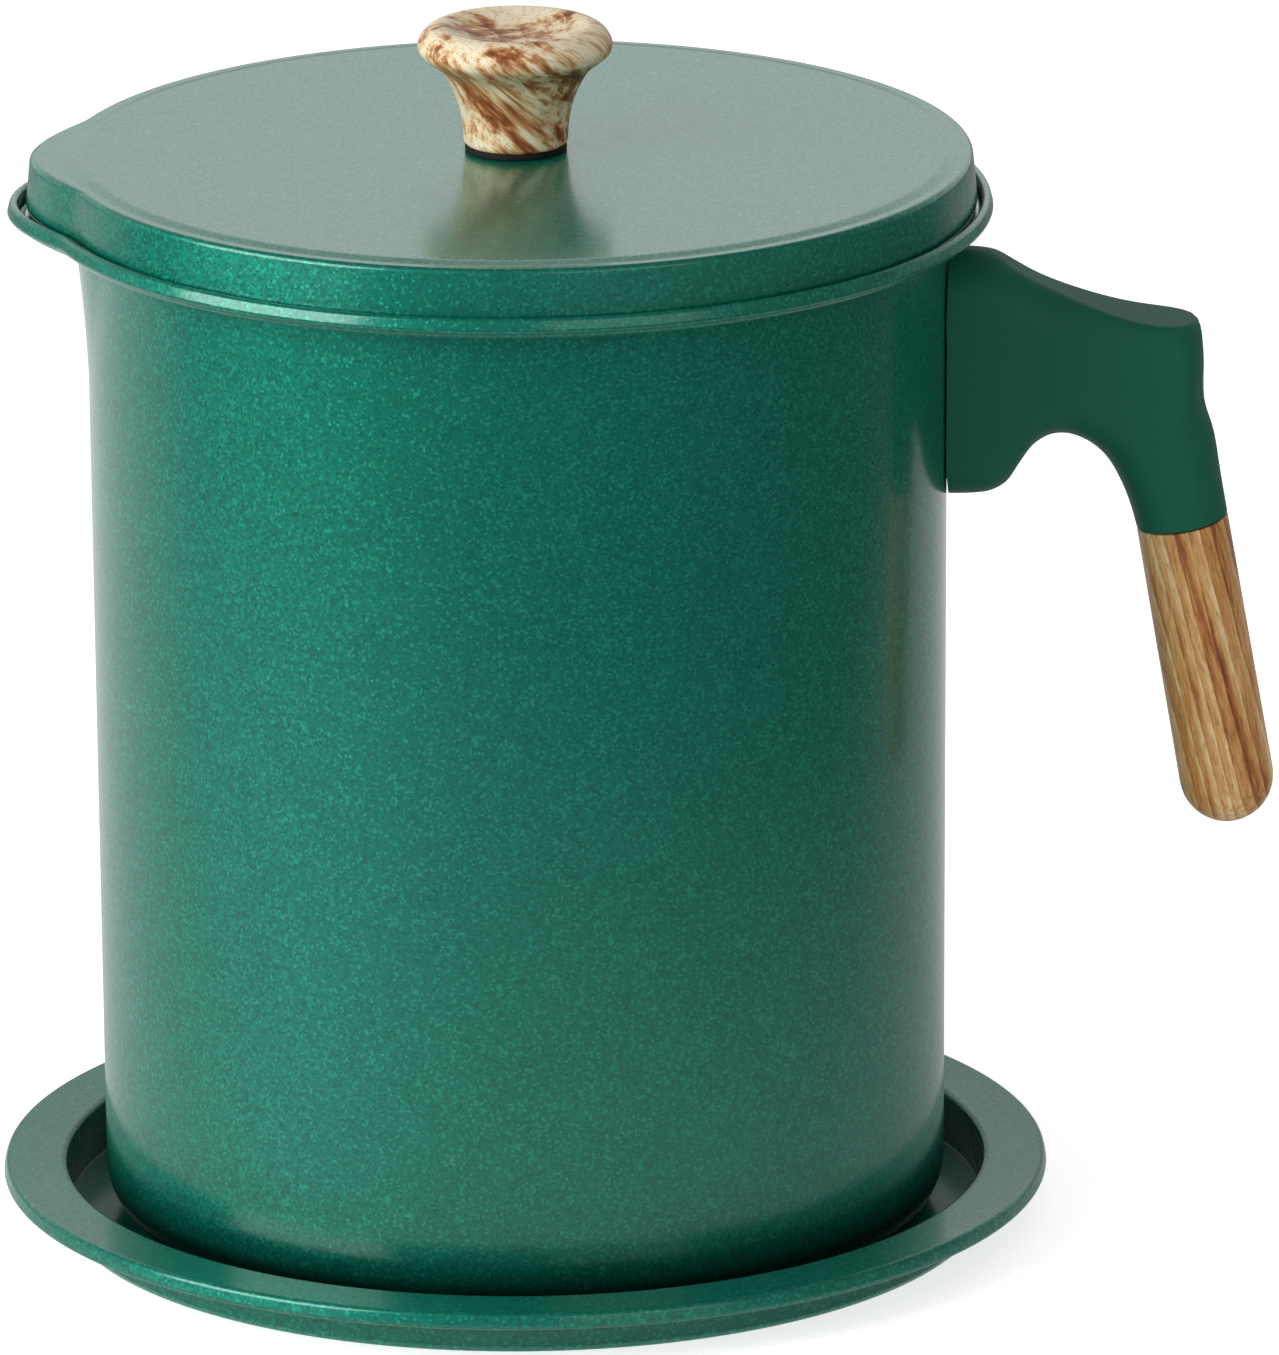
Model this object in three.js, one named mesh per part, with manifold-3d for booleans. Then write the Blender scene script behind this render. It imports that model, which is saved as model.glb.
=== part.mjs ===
// A lidded pot for straining and keeping bacon grease. The pressed steel pot has a pouring spout, a
// rolled rim and a side handle. A strainer hangs in its mouth, a lid with a turned knob closes it,
// and it stands in a shallow drip tray.
// Lengths are millimetres. The origin is on the pot's axis at the underside of the tray, +Z is up,
// the handle points along +X and the spout along -X.

import * as THREE from 'three';
import { mergeVertices } from 'three/addons/utils/BufferGeometryUtils.js';
import Module from 'manifold-3d';

const wasm = await Module();
wasm.setup();

// Clearances
const seatGap = 0.3; // between a piece and what it rests on or fits in
const threadGap = 0.3; // round a screw in its nut, insert or hole
const rimSideGap = 0.55; // between the strainer's flange and the lip of the rim
const lidSideGap = 0.65; // between the lid's skirt and the lip of the rim
const strainerSideGap = 0.8; // between the strainer and the inside of the pot's mouth
const cutOverrun = 2; // how far a cutting shape runs past the face that it opens

// Drip tray, one pressed sheet
const trayGauge = 0.8;
const trayRoom = 6.25; // between the pot's foot and the inside of the tray's wall
const trayHeight = 9.5;
const trayFlangeWidth = 7.3; // from the inside of the wall to where the flange turns down
const trayLipWidth = 3.05; // from there out to the edge of the sloping lip
const trayLipDrop = 2.3; // from the flange's top to the end of the lip
const trayLipEdge = 0.7; // the upright end of the lip
const trayCornerRadius = 1;
const trayNeckRadius = 0.9;

// Pot, one drawn sheet with a ledge and a rolled hem round its mouth
const potGauge = 0.7;
const potMouthRadius = 68;
const potTaper = 0.95; // how much narrower its foot is than its mouth
const potLedgeHeight = 163.2;
const potLedgeWidth = 5.45;
const potCornerRadius = 8;
const potFlareRadius = 1.6;
const rimCornerRadius = 0.9;
const rimHeight = 3.2;
const rimHemWidth = 1.85;
const rimHemDrop = 2.5;

// Spout, the same nose on the rim, the strainer and the lid
const spoutDirection = Math.PI;
const spoutHalfAngle = THREE.MathUtils.degToRad(18.5);
const spoutHumpPower = 1.25; // a lower one makes a tighter hollow where the nose meets the round
const spoutReach = 5.1;
const throatHeight = 26;
const noseGap = 0.5; // between the noses of the lid and the strainer and the nose of the rim
const throatShare = 0.4; // of the spout's reach, where the wall meets the ledge
const throatPower = 1.5;
const throatFootWidth = 0.4; // of the spout's width, at the foot of the throat

// Strainer, a drawn cup with a mesh floor under a clamp ring
const strainerGauge = 0.5;
const strainerTaper = 5; // how much narrower its foot is than its mouth
const strainerDepth = 31.5;
const strainerFlareRadius = 1.6;
const strainerCornerRadius = 2;
const strainerLipWidth = 5.5;
const meshThickness = 0.6;
const clampRingWidth = 3.2;
const clampRingHeight = 1.2;

// Lid, one pressed sheet with a shallow raised panel
const lidGauge = 0.7;
const lidHeight = 8.9;
const lidDraft = 0.8; // how much narrower its skirt is at the top
const lidEdgeRadius = 0.9;
const lidLandWidth = 4.9; // from the raised panel to the outside of the skirt
const lidPanelRise = 0.35;
const lidPanelSlope = 2;

// Knob and its fixing
const knobRadius = 15.35;
const knobHeight = 18.9;
const gasketRadius = 8.05;
const gasketThickness = 0.7;
const insertRadius = 3.7;
const insertLength = 10.6;
const knobScrewRadius = 2;
const knobScrewShortfall = 2.1; // from the screw's tip to the end of the insert
const knobScrewHeadRadius = 3.9;
const knobScrewHeadHeight = 2.4;
const knobWasherRadius = 6;
const knobWasherThickness = 0.8;

// Handle arm, a moulding with rounded edges and a scooped thumb rest
const armThickness = 17.6;
const armCrown = 7.3; // how far its rounded edges run in from its outline
const armReach = 40.6;
const armHeight = 39.8;
const armTopDrop = 6.1; // from the ledge down to the top of the arm

// Handle grip, an oval sleeve on the arm's tenon
const gripTilt = THREE.MathUtils.degToRad(9.6);
const gripWidth = 14.6;
const gripEndWidth = 15;
const gripThickness = 17;
const gripLength = 50.7;
const tenonWidth = 8.6;
const tenonThickness = 10.6;
const tenonLength = 22;
const tenonTaper = 0.6; // how much slimmer the tenon is at its tip, on each side

// Bracket that is spot-welded to the pot, and the screw that draws the handle on to it
const bracketGauge = 1.2;
const bracketSaddleWidth = 12;
const bracketSaddleHeight = 24;
const bracketStubHeight = 16;
const bracketStubLength = 12;
const screwDrop = 21.3; // from the top of the arm down to the screw
const nutAcrossFlats = 7;
const nutHeight = 3.2;
const handleScrewRadius = 2;
const handleScrewPastNut = 2.7;
const handleScrewHeadRadius = 3.8;
const handleScrewHeadHeight = 2.8;
const armWebLength = 6.5; // of solid arm between the bracket's socket and the screw's washers
const washerRadius = 4.3;
const flatWasherThickness = 0.9;
const springWasherThickness = 1;
const springWasherSlit = THREE.MathUtils.degToRad(16);
const plugGap = 6.7; // between the screw's head and the plug

// Fineness of the faceted surfaces
const coarseSteps = 36;
const spoutSteps = 12;
const roundSteps = 44;
const knobSteps = 28;
const smallSteps = 16;
const filletSteps = 2;
const cornerSteps = 4;
const crownSteps = 9;

// Radii and heights that follow from the sizes above
const potFootRadius = potMouthRadius - potTaper;
const potLedgeRadius = potMouthRadius + potLedgeWidth;
const trayWallRadius = potFootRadius + trayRoom + trayGauge;
const lidSkirtRadius = potLedgeRadius - lidSideGap;
const lidPanelRadius = lidSkirtRadius - lidLandWidth;
const innerNoseReach = spoutReach - noseGap;
const potUnderside = trayGauge + seatGap;
const ledgeZ = potUnderside + potLedgeHeight;
const strainerFlangeZ = ledgeZ + potGauge / 2 + seatGap + strainerGauge / 2;
const lidFootZ = strainerFlangeZ + strainerGauge / 2 + seatGap;
const lidTopZ = lidFootZ + lidHeight + lidPanelRise;
const armTopZ = ledgeZ - armTopDrop;
const armHeelZ = armTopZ - armHeight;
const screwZ = armTopZ - screwDrop;
const bracketStubWidth = nutAcrossFlats + 2 * (seatGap + bracketGauge);

// Outside radius of the pot's tapered wall at a height above the tray's underside.
function potRadiusAt(z) {
  return THREE.MathUtils.mapLinear(z, potUnderside, ledgeZ, potFootRadius, potMouthRadius);
}

// A polyline through corners { x, y, radius, steps }, each rounded by its radius.
function roundCorners(corners) {
  const line = [];
  corners.forEach((corner, i) => {
    const here = new THREE.Vector2(corner.x, corner.y);
    if (!corner.radius) {
      line.push(here);
      return;
    }
    const before = new THREE.Vector2(corners[i - 1].x, corners[i - 1].y).sub(here).normalize();
    const after = new THREE.Vector2(corners[i + 1].x, corners[i + 1].y).sub(here).normalize();
    const halfAngle = Math.acos(THREE.MathUtils.clamp(before.dot(after), -1, 1)) / 2;
    const toCentre = before.clone().add(after).normalize();
    const centre = here.clone().addScaledVector(toCentre, corner.radius / Math.sin(halfAngle));
    const start = here.clone().addScaledVector(before, corner.radius / Math.tan(halfAngle));
    const sweep = (Math.PI - 2 * halfAngle) * Math.sign(after.cross(before));
    const steps = corner.steps ?? filletSteps;
    for (let k = 0; k <= steps; k++) {
      line.push(start.clone().rotateAround(centre, (sweep * k) / steps));
    }
  });
  return line;
}

// The closed outline of a sheet of one gauge along a middle line that runs outwards from the axis.
function sheetOutline(middle, gauge) {
  const side = (offset) =>
    middle.map((point, i) => {
      const ahead = (middle[i + 1] ?? point).clone().sub(i + 1 < middle.length ? point : middle[i - 1]);
      const behind = i > 0 ? point.clone().sub(middle[i - 1]) : ahead.clone();
      const normal = ahead.normalize().add(behind.normalize()).normalize();
      const stretch = 1 / Math.max(normal.dot(ahead), 0.5);
      const moved = new THREE.Vector2(normal.y, -normal.x).multiplyScalar(offset * stretch).add(point);
      if (point.x === 0) moved.x = 0;
      return moved;
    });
  return [...side(gauge / 2), ...side(-gauge / 2).reverse()];
}

// Turns a closed outline of radius and height, drawn counter-clockwise, about Z. The function
// noseAt gives how far a point of the outline is pushed out at an angle.
function turned(outline, angles, noseAt = () => 0) {
  const positions = [];
  const addVertex = (x, y, z) => positions.push(x, y, z) / 3 - 1;
  const rings = outline.map((point) => {
    if (point.x === 0) return [addVertex(0, 0, point.y)];
    return angles.map((angle) => {
      const radius = point.x + noseAt(point, angle);
      return addVertex(radius * Math.cos(angle), radius * Math.sin(angle), point.y);
    });
  });
  const faces = [];
  rings.forEach((ring, i) => {
    const next = rings[(i + 1) % rings.length];
    angles.forEach((angle, k) => {
      const a = ring[k % ring.length];
      const b = ring[(k + 1) % ring.length];
      const c = next[(k + 1) % next.length];
      const d = next[k % next.length];
      if (a !== b) faces.push(a, b, c);
      if (c !== d) faces.push(a, c, d);
    });
  });
  return meshGeometry(positions, faces);
}

function meshGeometry(positions, faces) {
  const geometry = new THREE.BufferGeometry();
  geometry.setAttribute('position', new THREE.Float32BufferAttribute(positions, 3));
  geometry.setIndex(faces);
  return geometry;
}

// Angles round the axis, closer together across the spout's nose.
function spoutAngles() {
  const from = spoutDirection - spoutHalfAngle;
  const to = spoutDirection + spoutHalfAngle;
  const rest = 2 * Math.PI - 2 * spoutHalfAngle;
  const across = Array.from({ length: spoutSteps }, (_, k) => from + ((to - from) * k) / spoutSteps);
  const round = Array.from({ length: coarseSteps }, (_, k) => to + (rest * k) / coarseSteps);
  return [...across, ...round];
}

function evenAngles(steps) {
  return Array.from({ length: steps }, (_, k) => (2 * Math.PI * k) / steps);
}

// The nose's share of its full reach at an angle, a smooth hump over the spout's direction. The
// width is a share of the spout's full width.
function noseShareAt(angle, width = 1) {
  const away = Math.abs(angle - spoutDirection);
  const half = spoutHalfAngle * width;
  return away < half ? Math.cos((Math.PI * away) / (2 * half)) ** spoutHumpPower : 0;
}

// Skins a row of sections that have the same number of points, and closes both ends.
function lofted(sections) {
  const positions = sections.flat().flatMap((point) => point.toArray());
  const count = sections[0].length;
  const faces = [];
  for (let i = 0; i + 1 < sections.length; i++) {
    for (let k = 0; k < count; k++) {
      const a = i * count + k;
      const b = i * count + ((k + 1) % count);
      faces.push(a, b, b + count, a, b + count, a + count);
    }
  }
  const last = (sections.length - 1) * count;
  for (let k = 1; k + 1 < count; k++) {
    faces.push(0, k + 1, k, last, last + k, last + k + 1);
  }
  return meshGeometry(positions, faces);
}

// A section between a point on the inner and one on the outer outline, with elliptical ends.
function handleSection(inner, outer, crown, halfThickness) {
  const along = outer.clone().sub(inner);
  const depth = Math.min(crown, along.length() / 2);
  along.normalize();
  const endPoint = (tip, direction, angle) => {
    const centre = tip.clone().addScaledVector(along, -direction * depth);
    const point = centre.addScaledVector(along, direction * depth * Math.cos(angle));
    return new THREE.Vector3(point.x, halfThickness * Math.sin(angle), point.y);
  };
  const angles = Array.from({ length: crownSteps }, (_, k) => Math.PI * (k / (crownSteps - 1) - 0.5));
  return [
    ...angles.map((angle) => endPoint(inner, -1, angle)),
    ...angles.map((angle) => endPoint(outer, 1, -angle)),
  ];
}

// An oval section of the grip or its tenon, a distance along the grip's axis from its top.
function ovalSection(along, width, thickness) {
  const centre = gripTop.clone().addScaledVector(gripAxis, along);
  const inner = centre.clone().addScaledVector(gripAcross, -width / 2);
  const outer = centre.clone().addScaledVector(gripAcross, width / 2);
  return handleSection(inner, outer, width / 2, thickness / 2);
}

// Solids for joining and cutting
function solidOf(geometry, matrix = new THREE.Matrix4()) {
  const bare = new THREE.BufferGeometry();
  bare.setAttribute('position', geometry.getAttribute('position').clone());
  bare.setIndex(geometry.index);
  bare.applyMatrix4(matrix);
  const merged = mergeVertices(bare);
  return new wasm.Manifold(
    new wasm.Mesh({
      numProp: 3,
      vertProperties: new Float32Array(merged.attributes.position.array),
      triVerts: new Uint32Array(merged.index.array),
    }),
  );
}

function geometryOf(solid) {
  const mesh = solid.getMesh();
  return meshGeometry(Array.from(mesh.vertProperties), Array.from(mesh.triVerts));
}

// A box between two corners.
function boxSolid(from, to) {
  const size = to.clone().sub(from);
  const centre = from.clone().add(to).divideScalar(2);
  const box = new THREE.BoxGeometry(size.x, size.y, size.z);
  return solidOf(box, new THREE.Matrix4().makeTranslation(centre));
}

// A rod along +X from one place to another at the height of the handle's screw.
function screwRod(radius, fromX, toX) {
  const rod = new THREE.CylinderGeometry(radius, radius, toX - fromX, smallSteps);
  rod.rotateZ(-Math.PI / 2);
  return solidOf(rod, new THREE.Matrix4().makeTranslation((fromX + toX) / 2, 0, screwZ));
}

// The inside of a slightly larger pot, between two heights.
function potEnvelope(gap, fromZ, toZ) {
  const steps = 2 * roundSteps;
  const top = potRadiusAt(toZ) + gap;
  const foot = potRadiusAt(fromZ) + gap;
  const cone = new THREE.CylinderGeometry(top, foot, toZ - fromZ, steps);
  cone.rotateX(Math.PI / 2);
  return solidOf(cone, new THREE.Matrix4().makeTranslation(0, 0, (fromZ + toZ) / 2));
}

// Materials
const paint = { color: 0x0d6550, roughness: 0.32, metalness: 0.55 };
const moulded = { color: 0x174e3c, roughness: 0.5, metalness: 0 };
const woodPrint = { color: 0xb98a55, roughness: 0.45, metalness: 0 };
const stainless = { color: 0xc2c4c4, roughness: 0.3, metalness: 1 };
const zincSteel = { color: 0xaeb1b3, roughness: 0.4, metalness: 1 };
const brass = { color: 0xb8994f, roughness: 0.35, metalness: 1 };
const rubber = { color: 0x141414, roughness: 0.75, metalness: 0 };

const potAssembly = new THREE.Group();

function addPiece(name, geometry, finish, parent = potAssembly) {
  const mesh = new THREE.Mesh(geometry, new THREE.MeshStandardMaterial(finish));
  mesh.name = name;
  parent.add(mesh);
  return mesh;
}

// A ring or disc that lies flat, between two radii and two heights. An inner radius of 0 fills it.
function ring(innerRadius, outerRadius, fromZ, toZ, steps) {
  const outline = [
    new THREE.Vector2(innerRadius, fromZ),
    new THREE.Vector2(outerRadius, fromZ),
    new THREE.Vector2(outerRadius, toZ),
    new THREE.Vector2(innerRadius, toZ),
  ];
  return turned(outline, evenAngles(steps));
}

// A pan-head screw along +Z with its head's underside at height 0.
function panScrew(radius, length, headRadius, headHeight) {
  const outline = roundCorners([
    { x: 0, y: -headHeight },
    { x: headRadius, y: -headHeight, radius: headHeight / 2 },
    { x: headRadius, y: 0 },
    { x: radius, y: 0 },
    { x: radius, y: length - radius / 2 },
    { x: radius / 2, y: length },
    { x: 0, y: length },
  ]);
  return turned(outline, evenAngles(smallSteps));
}

function buildTray() {
  const floor = trayGauge / 2;
  const flange = trayHeight - trayGauge / 2;
  const wall = trayWallRadius - trayGauge / 2;
  const fold = trayWallRadius - trayGauge + trayFlangeWidth;
  const lip = fold + trayLipWidth - trayGauge / 2;
  const lipEnd = trayHeight - trayLipDrop;
  const middle = roundCorners([
    { x: 0, y: floor },
    { x: wall, y: floor, radius: trayCornerRadius - trayGauge / 2 },
    { x: wall, y: flange, radius: trayNeckRadius },
    { x: fold, y: flange, radius: trayNeckRadius },
    { x: lip, y: lipEnd + trayLipEdge, radius: trayLipEdge / 2 },
    { x: lip, y: lipEnd },
  ]);
  addPiece('tray_pan', turned(sheetOutline(middle, trayGauge), evenAngles(roundSteps)), paint);
}

function buildPot() {
  const floor = potUnderside + potGauge / 2;
  const wallAt = (z) => potRadiusAt(z) - potGauge / 2;
  const throatFoot = ledgeZ - throatHeight;
  const throatTop = ledgeZ - potFlareRadius - potGauge;
  const throatRowShares = [0, 0.3, 0.55, 0.8];
  const lip = potLedgeRadius + potGauge / 2;
  const hem = potLedgeRadius + rimHemWidth - potGauge / 2;
  const hemTop = ledgeZ + rimHeight - potGauge / 2;
  const curl = (hem - lip) / 2;
  const middle = roundCorners([
    { x: 0, y: floor },
    { x: wallAt(floor), y: floor, radius: potCornerRadius - potGauge / 2, steps: cornerSteps },
    ...throatRowShares.map((row) => {
      const z = THREE.MathUtils.lerp(throatFoot, throatTop, row);
      return { x: wallAt(z), y: z };
    }),
    { x: wallAt(ledgeZ), y: ledgeZ, radius: potFlareRadius },
    { x: lip, y: ledgeZ, radius: rimCornerRadius },
    { x: lip, y: hemTop, radius: curl },
    { x: hem, y: hemTop, radius: curl },
    { x: hem, y: ledgeZ + rimHeight - rimHemDrop },
  ]);
  const noseAt = (point, angle) => {
    const climb = THREE.MathUtils.clamp((point.y - throatFoot) / (ledgeZ - throatFoot), 0, 1);
    const outwards = THREE.MathUtils.clamp((point.x - potMouthRadius) / (lip - potMouthRadius), 0, 1);
    const share = throatShare * climb ** throatPower + (1 - throatShare) * outwards;
    return spoutReach * share * noseShareAt(angle, THREE.MathUtils.lerp(throatFootWidth, 1, climb));
  };
  addPiece('pot_body', turned(sheetOutline(middle, potGauge), spoutAngles(), noseAt), paint);
}

function buildStrainer() {
  const flange = potLedgeRadius - rimSideGap;
  const mouth = potMouthRadius - potGauge - strainerSideGap - strainerGauge / 2;
  const foot = mouth - strainerTaper;
  const floor = strainerFlangeZ + strainerGauge / 2 - strainerDepth + strainerGauge / 2;
  const middle = roundCorners([
    { x: foot - strainerLipWidth, y: floor },
    { x: foot, y: floor, radius: strainerCornerRadius - strainerGauge / 2 },
    { x: mouth, y: strainerFlangeZ, radius: strainerFlareRadius },
    { x: flange, y: strainerFlangeZ },
  ]);
  const noseAt = (point, angle) => {
    const outwards = THREE.MathUtils.clamp((point.x - mouth) / (flange - mouth), 0, 1);
    return innerNoseReach * outwards * noseShareAt(angle);
  };
  addPiece('strainer_cup', turned(sheetOutline(middle, strainerGauge), spoutAngles(), noseAt), stainless);

  const meshZ = floor + strainerGauge / 2 + seatGap;
  const meshRadius = foot - strainerGauge / 2 - strainerCornerRadius / 2;
  addPiece('strainer_mesh', ring(0, meshRadius, meshZ, meshZ + meshThickness, roundSteps), stainless);

  const clampZ = meshZ + meshThickness + seatGap;
  const clampInner = meshRadius - clampRingWidth;
  const clampRing = ring(clampInner, meshRadius, clampZ, clampZ + clampRingHeight, roundSteps);
  addPiece('strainer_clamp_ring', clampRing, stainless);
}

function buildLid() {
  const skirt = lidSkirtRadius - lidGauge / 2;
  const land = lidFootZ + lidHeight - lidGauge / 2;
  const panel = land + lidPanelRise;
  const middle = roundCorners([
    { x: knobScrewRadius + threadGap, y: panel },
    { x: lidPanelRadius, y: panel },
    { x: lidPanelRadius + lidPanelSlope, y: land },
    { x: skirt - lidDraft, y: land, radius: lidEdgeRadius - lidGauge / 2 },
    { x: skirt, y: lidFootZ },
  ]);
  const brow = skirt - lidDraft - lidPanelRadius;
  const noseAt = (point, angle) => {
    const outwards = THREE.MathUtils.clamp((point.x - lidPanelRadius) / brow, 0, 1);
    return innerNoseReach * outwards * noseShareAt(angle);
  };
  addPiece('lid_shell', turned(sheetOutline(middle, lidGauge), spoutAngles(), noseAt), paint);
}

// The knob's outline as shares of its radius and its height, from its foot round to its dished top.
const knobOutlineShares = [
  [0.5, 0], [0.528, 0.022], [0.54, 0.086], [0.551, 0.193], [0.575, 0.3], [0.613, 0.396],
  [0.665, 0.492], [0.73, 0.588], [0.821, 0.668], [0.919, 0.727], [0.984, 0.781], [1, 0.845],
  [0.964, 0.914], [0.886, 0.973], [0.769, 1], [0.619, 0.963], [0.39, 0.904], [0, 0.877],
];

function buildKnob() {
  const gasketZ = lidTopZ + seatGap;
  const screwHole = knobScrewRadius + threadGap;
  const gasket = ring(screwHole, gasketRadius, gasketZ, gasketZ + gasketThickness, knobSteps);
  addPiece('knob_gasket', gasket, rubber);

  const knobZ = gasketZ + gasketThickness + seatGap;
  const insertZ = knobZ + seatGap;
  const insertTopZ = insertZ + insertLength;
  const boreTopZ = insertTopZ + seatGap;
  const boreRadius = insertRadius + seatGap;
  const outline = [
    new THREE.Vector2(0, boreTopZ),
    new THREE.Vector2(boreRadius, boreTopZ),
    new THREE.Vector2(boreRadius, knobZ),
    ...knobOutlineShares.map(([r, z]) => new THREE.Vector2(r * knobRadius, knobZ + z * knobHeight)),
  ];
  addPiece('lid_knob', turned(outline, evenAngles(knobSteps)), woodPrint);

  addPiece('knob_insert', ring(screwHole, insertRadius, insertZ, insertTopZ, smallSteps), brass);

  const washerTopZ = lidTopZ - lidGauge - seatGap;
  const washerZ = washerTopZ - knobWasherThickness;
  const washer = ring(screwHole, knobWasherRadius, washerZ, washerTopZ, smallSteps);
  addPiece('knob_screw_washer', washer, zincSteel);

  const headZ = washerZ - seatGap;
  const screwLength = insertTopZ - knobScrewShortfall - headZ;
  const screw = panScrew(knobScrewRadius, screwLength, knobScrewHeadRadius, knobScrewHeadHeight);
  addPiece('knob_screw', screw, zincSteel).position.z = headZ;
}

// Where each section of the arm starts on the arch and ends on the spine, from the pot round to
// the grip, as shares of the arm's reach and of its height above its heel.
const armSectionShares = [
  { arch: [-0.05, 0], spine: [-0.05, 1] },
  { arch: [0.1, 0], spine: [0.1, 1] },
  { arch: [0.171, 0.011], spine: [0.191, 0.985] },
  { arch: [0.23, 0.047], spine: [0.272, 0.941] },
  { arch: [0.282, 0.126], spine: [0.353, 0.896] },
  { arch: [0.334, 0.198], spine: [0.437, 0.861] },
  { arch: [0.398, 0.238], spine: [0.536, 0.832] },
  { arch: [0.462, 0.243], spine: [0.654, 0.809] },
  { arch: [0.528, 0.22], spine: [0.782, 0.795] },
  { arch: [0.585, 0.181], spine: [0.905, 0.77] },
  { arch: [0.627, 0.134], spine: [0.979, 0.696] },
  { arch: [0.659, 0.079], spine: [1, 0.569] },
  { arch: [0.688, 0.015], spine: [1.004, 0.371] },
  { arch: [0.711, -0.047], spine: [1.042, 0.235] },
  { arch: [0.727, -0.101], spine: [1.07, 0.057] },
];
// The middle of the joint between arm and grip, and the thumb rest's line, in the same shares.
const gripTopShares = [0.917, -0.12];
const gripTipShare = 0.08; // how much of its end's width the grip keeps flat at the very tip
const thumbRestShares = [
  [0.18, 0.995], [0.26, 0.935], [0.346, 0.881], [0.477, 0.819],
  [0.595, 0.772], [0.713, 0.735], [0.816, 0.715], [0.92, 0.705], [1.1, 0.705],
];

const wallAtHandle = potRadiusAt(screwZ);

function onArm([reach, height]) {
  return new THREE.Vector2(wallAtHandle + reach * armReach, armHeelZ + height * armHeight);
}

const gripTop = onArm(gripTopShares);
const gripAxis = new THREE.Vector2(Math.sin(gripTilt), -Math.cos(gripTilt));
const gripAcross = new THREE.Vector2(Math.cos(gripTilt), Math.sin(gripTilt));

function curveThrough(points, count) {
  const curve = new THREE.CatmullRomCurve3(points.map((p) => new THREE.Vector3(p.x, p.y, 0)));
  return curve.getPoints(count).map((p) => new THREE.Vector2(p.x, p.y));
}

function armBlank() {
  const arch = armSectionShares.map((section) => onArm(section.arch));
  const spine = armSectionShares.map((section) => onArm(section.spine));
  arch.push(gripTop.clone().addScaledVector(gripAcross, -gripWidth / 2));
  spine.push(gripTop.clone().addScaledVector(gripAcross, gripWidth / 2));
  const count = 2 * (arch.length - 1);
  const inner = curveThrough(arch, count);
  const outer = curveThrough(spine, count);
  return lofted(
    inner.map((point, i) => {
      const thickness = THREE.MathUtils.lerp(armThickness, gripThickness, i / count);
      return handleSection(point, outer[i], armCrown, thickness / 2);
    }),
  );
}

// The tenon that the grip slides on to, or with a gap the socket for it.
function tenon(gap, fromAlong, toAlong) {
  const tip = 2 * (gap - tenonTaper);
  return lofted([
    ovalSection(fromAlong, tenonWidth + 2 * gap, tenonThickness + 2 * gap),
    ovalSection(toAlong, tenonWidth + tip, tenonThickness + tip),
  ]);
}

// Everything above the thumb rest's curve, as a block to cut away.
function thumbRestCut() {
  const line = curveThrough(thumbRestShares.map(onArm), 2 * thumbRestShares.length);
  const roof = armTopZ + armThickness;
  const outline = [...line, new THREE.Vector2(line.at(-1).x, roof), new THREE.Vector2(line[0].x, roof)];
  const cut = new THREE.ExtrudeGeometry(new THREE.Shape(outline), {
    depth: armThickness + 2 * cutOverrun,
    bevelEnabled: false,
  });
  cut.translate(0, 0, -armThickness / 2 - cutOverrun);
  cut.rotateX(Math.PI / 2);
  return solidOf(cut);
}

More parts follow.
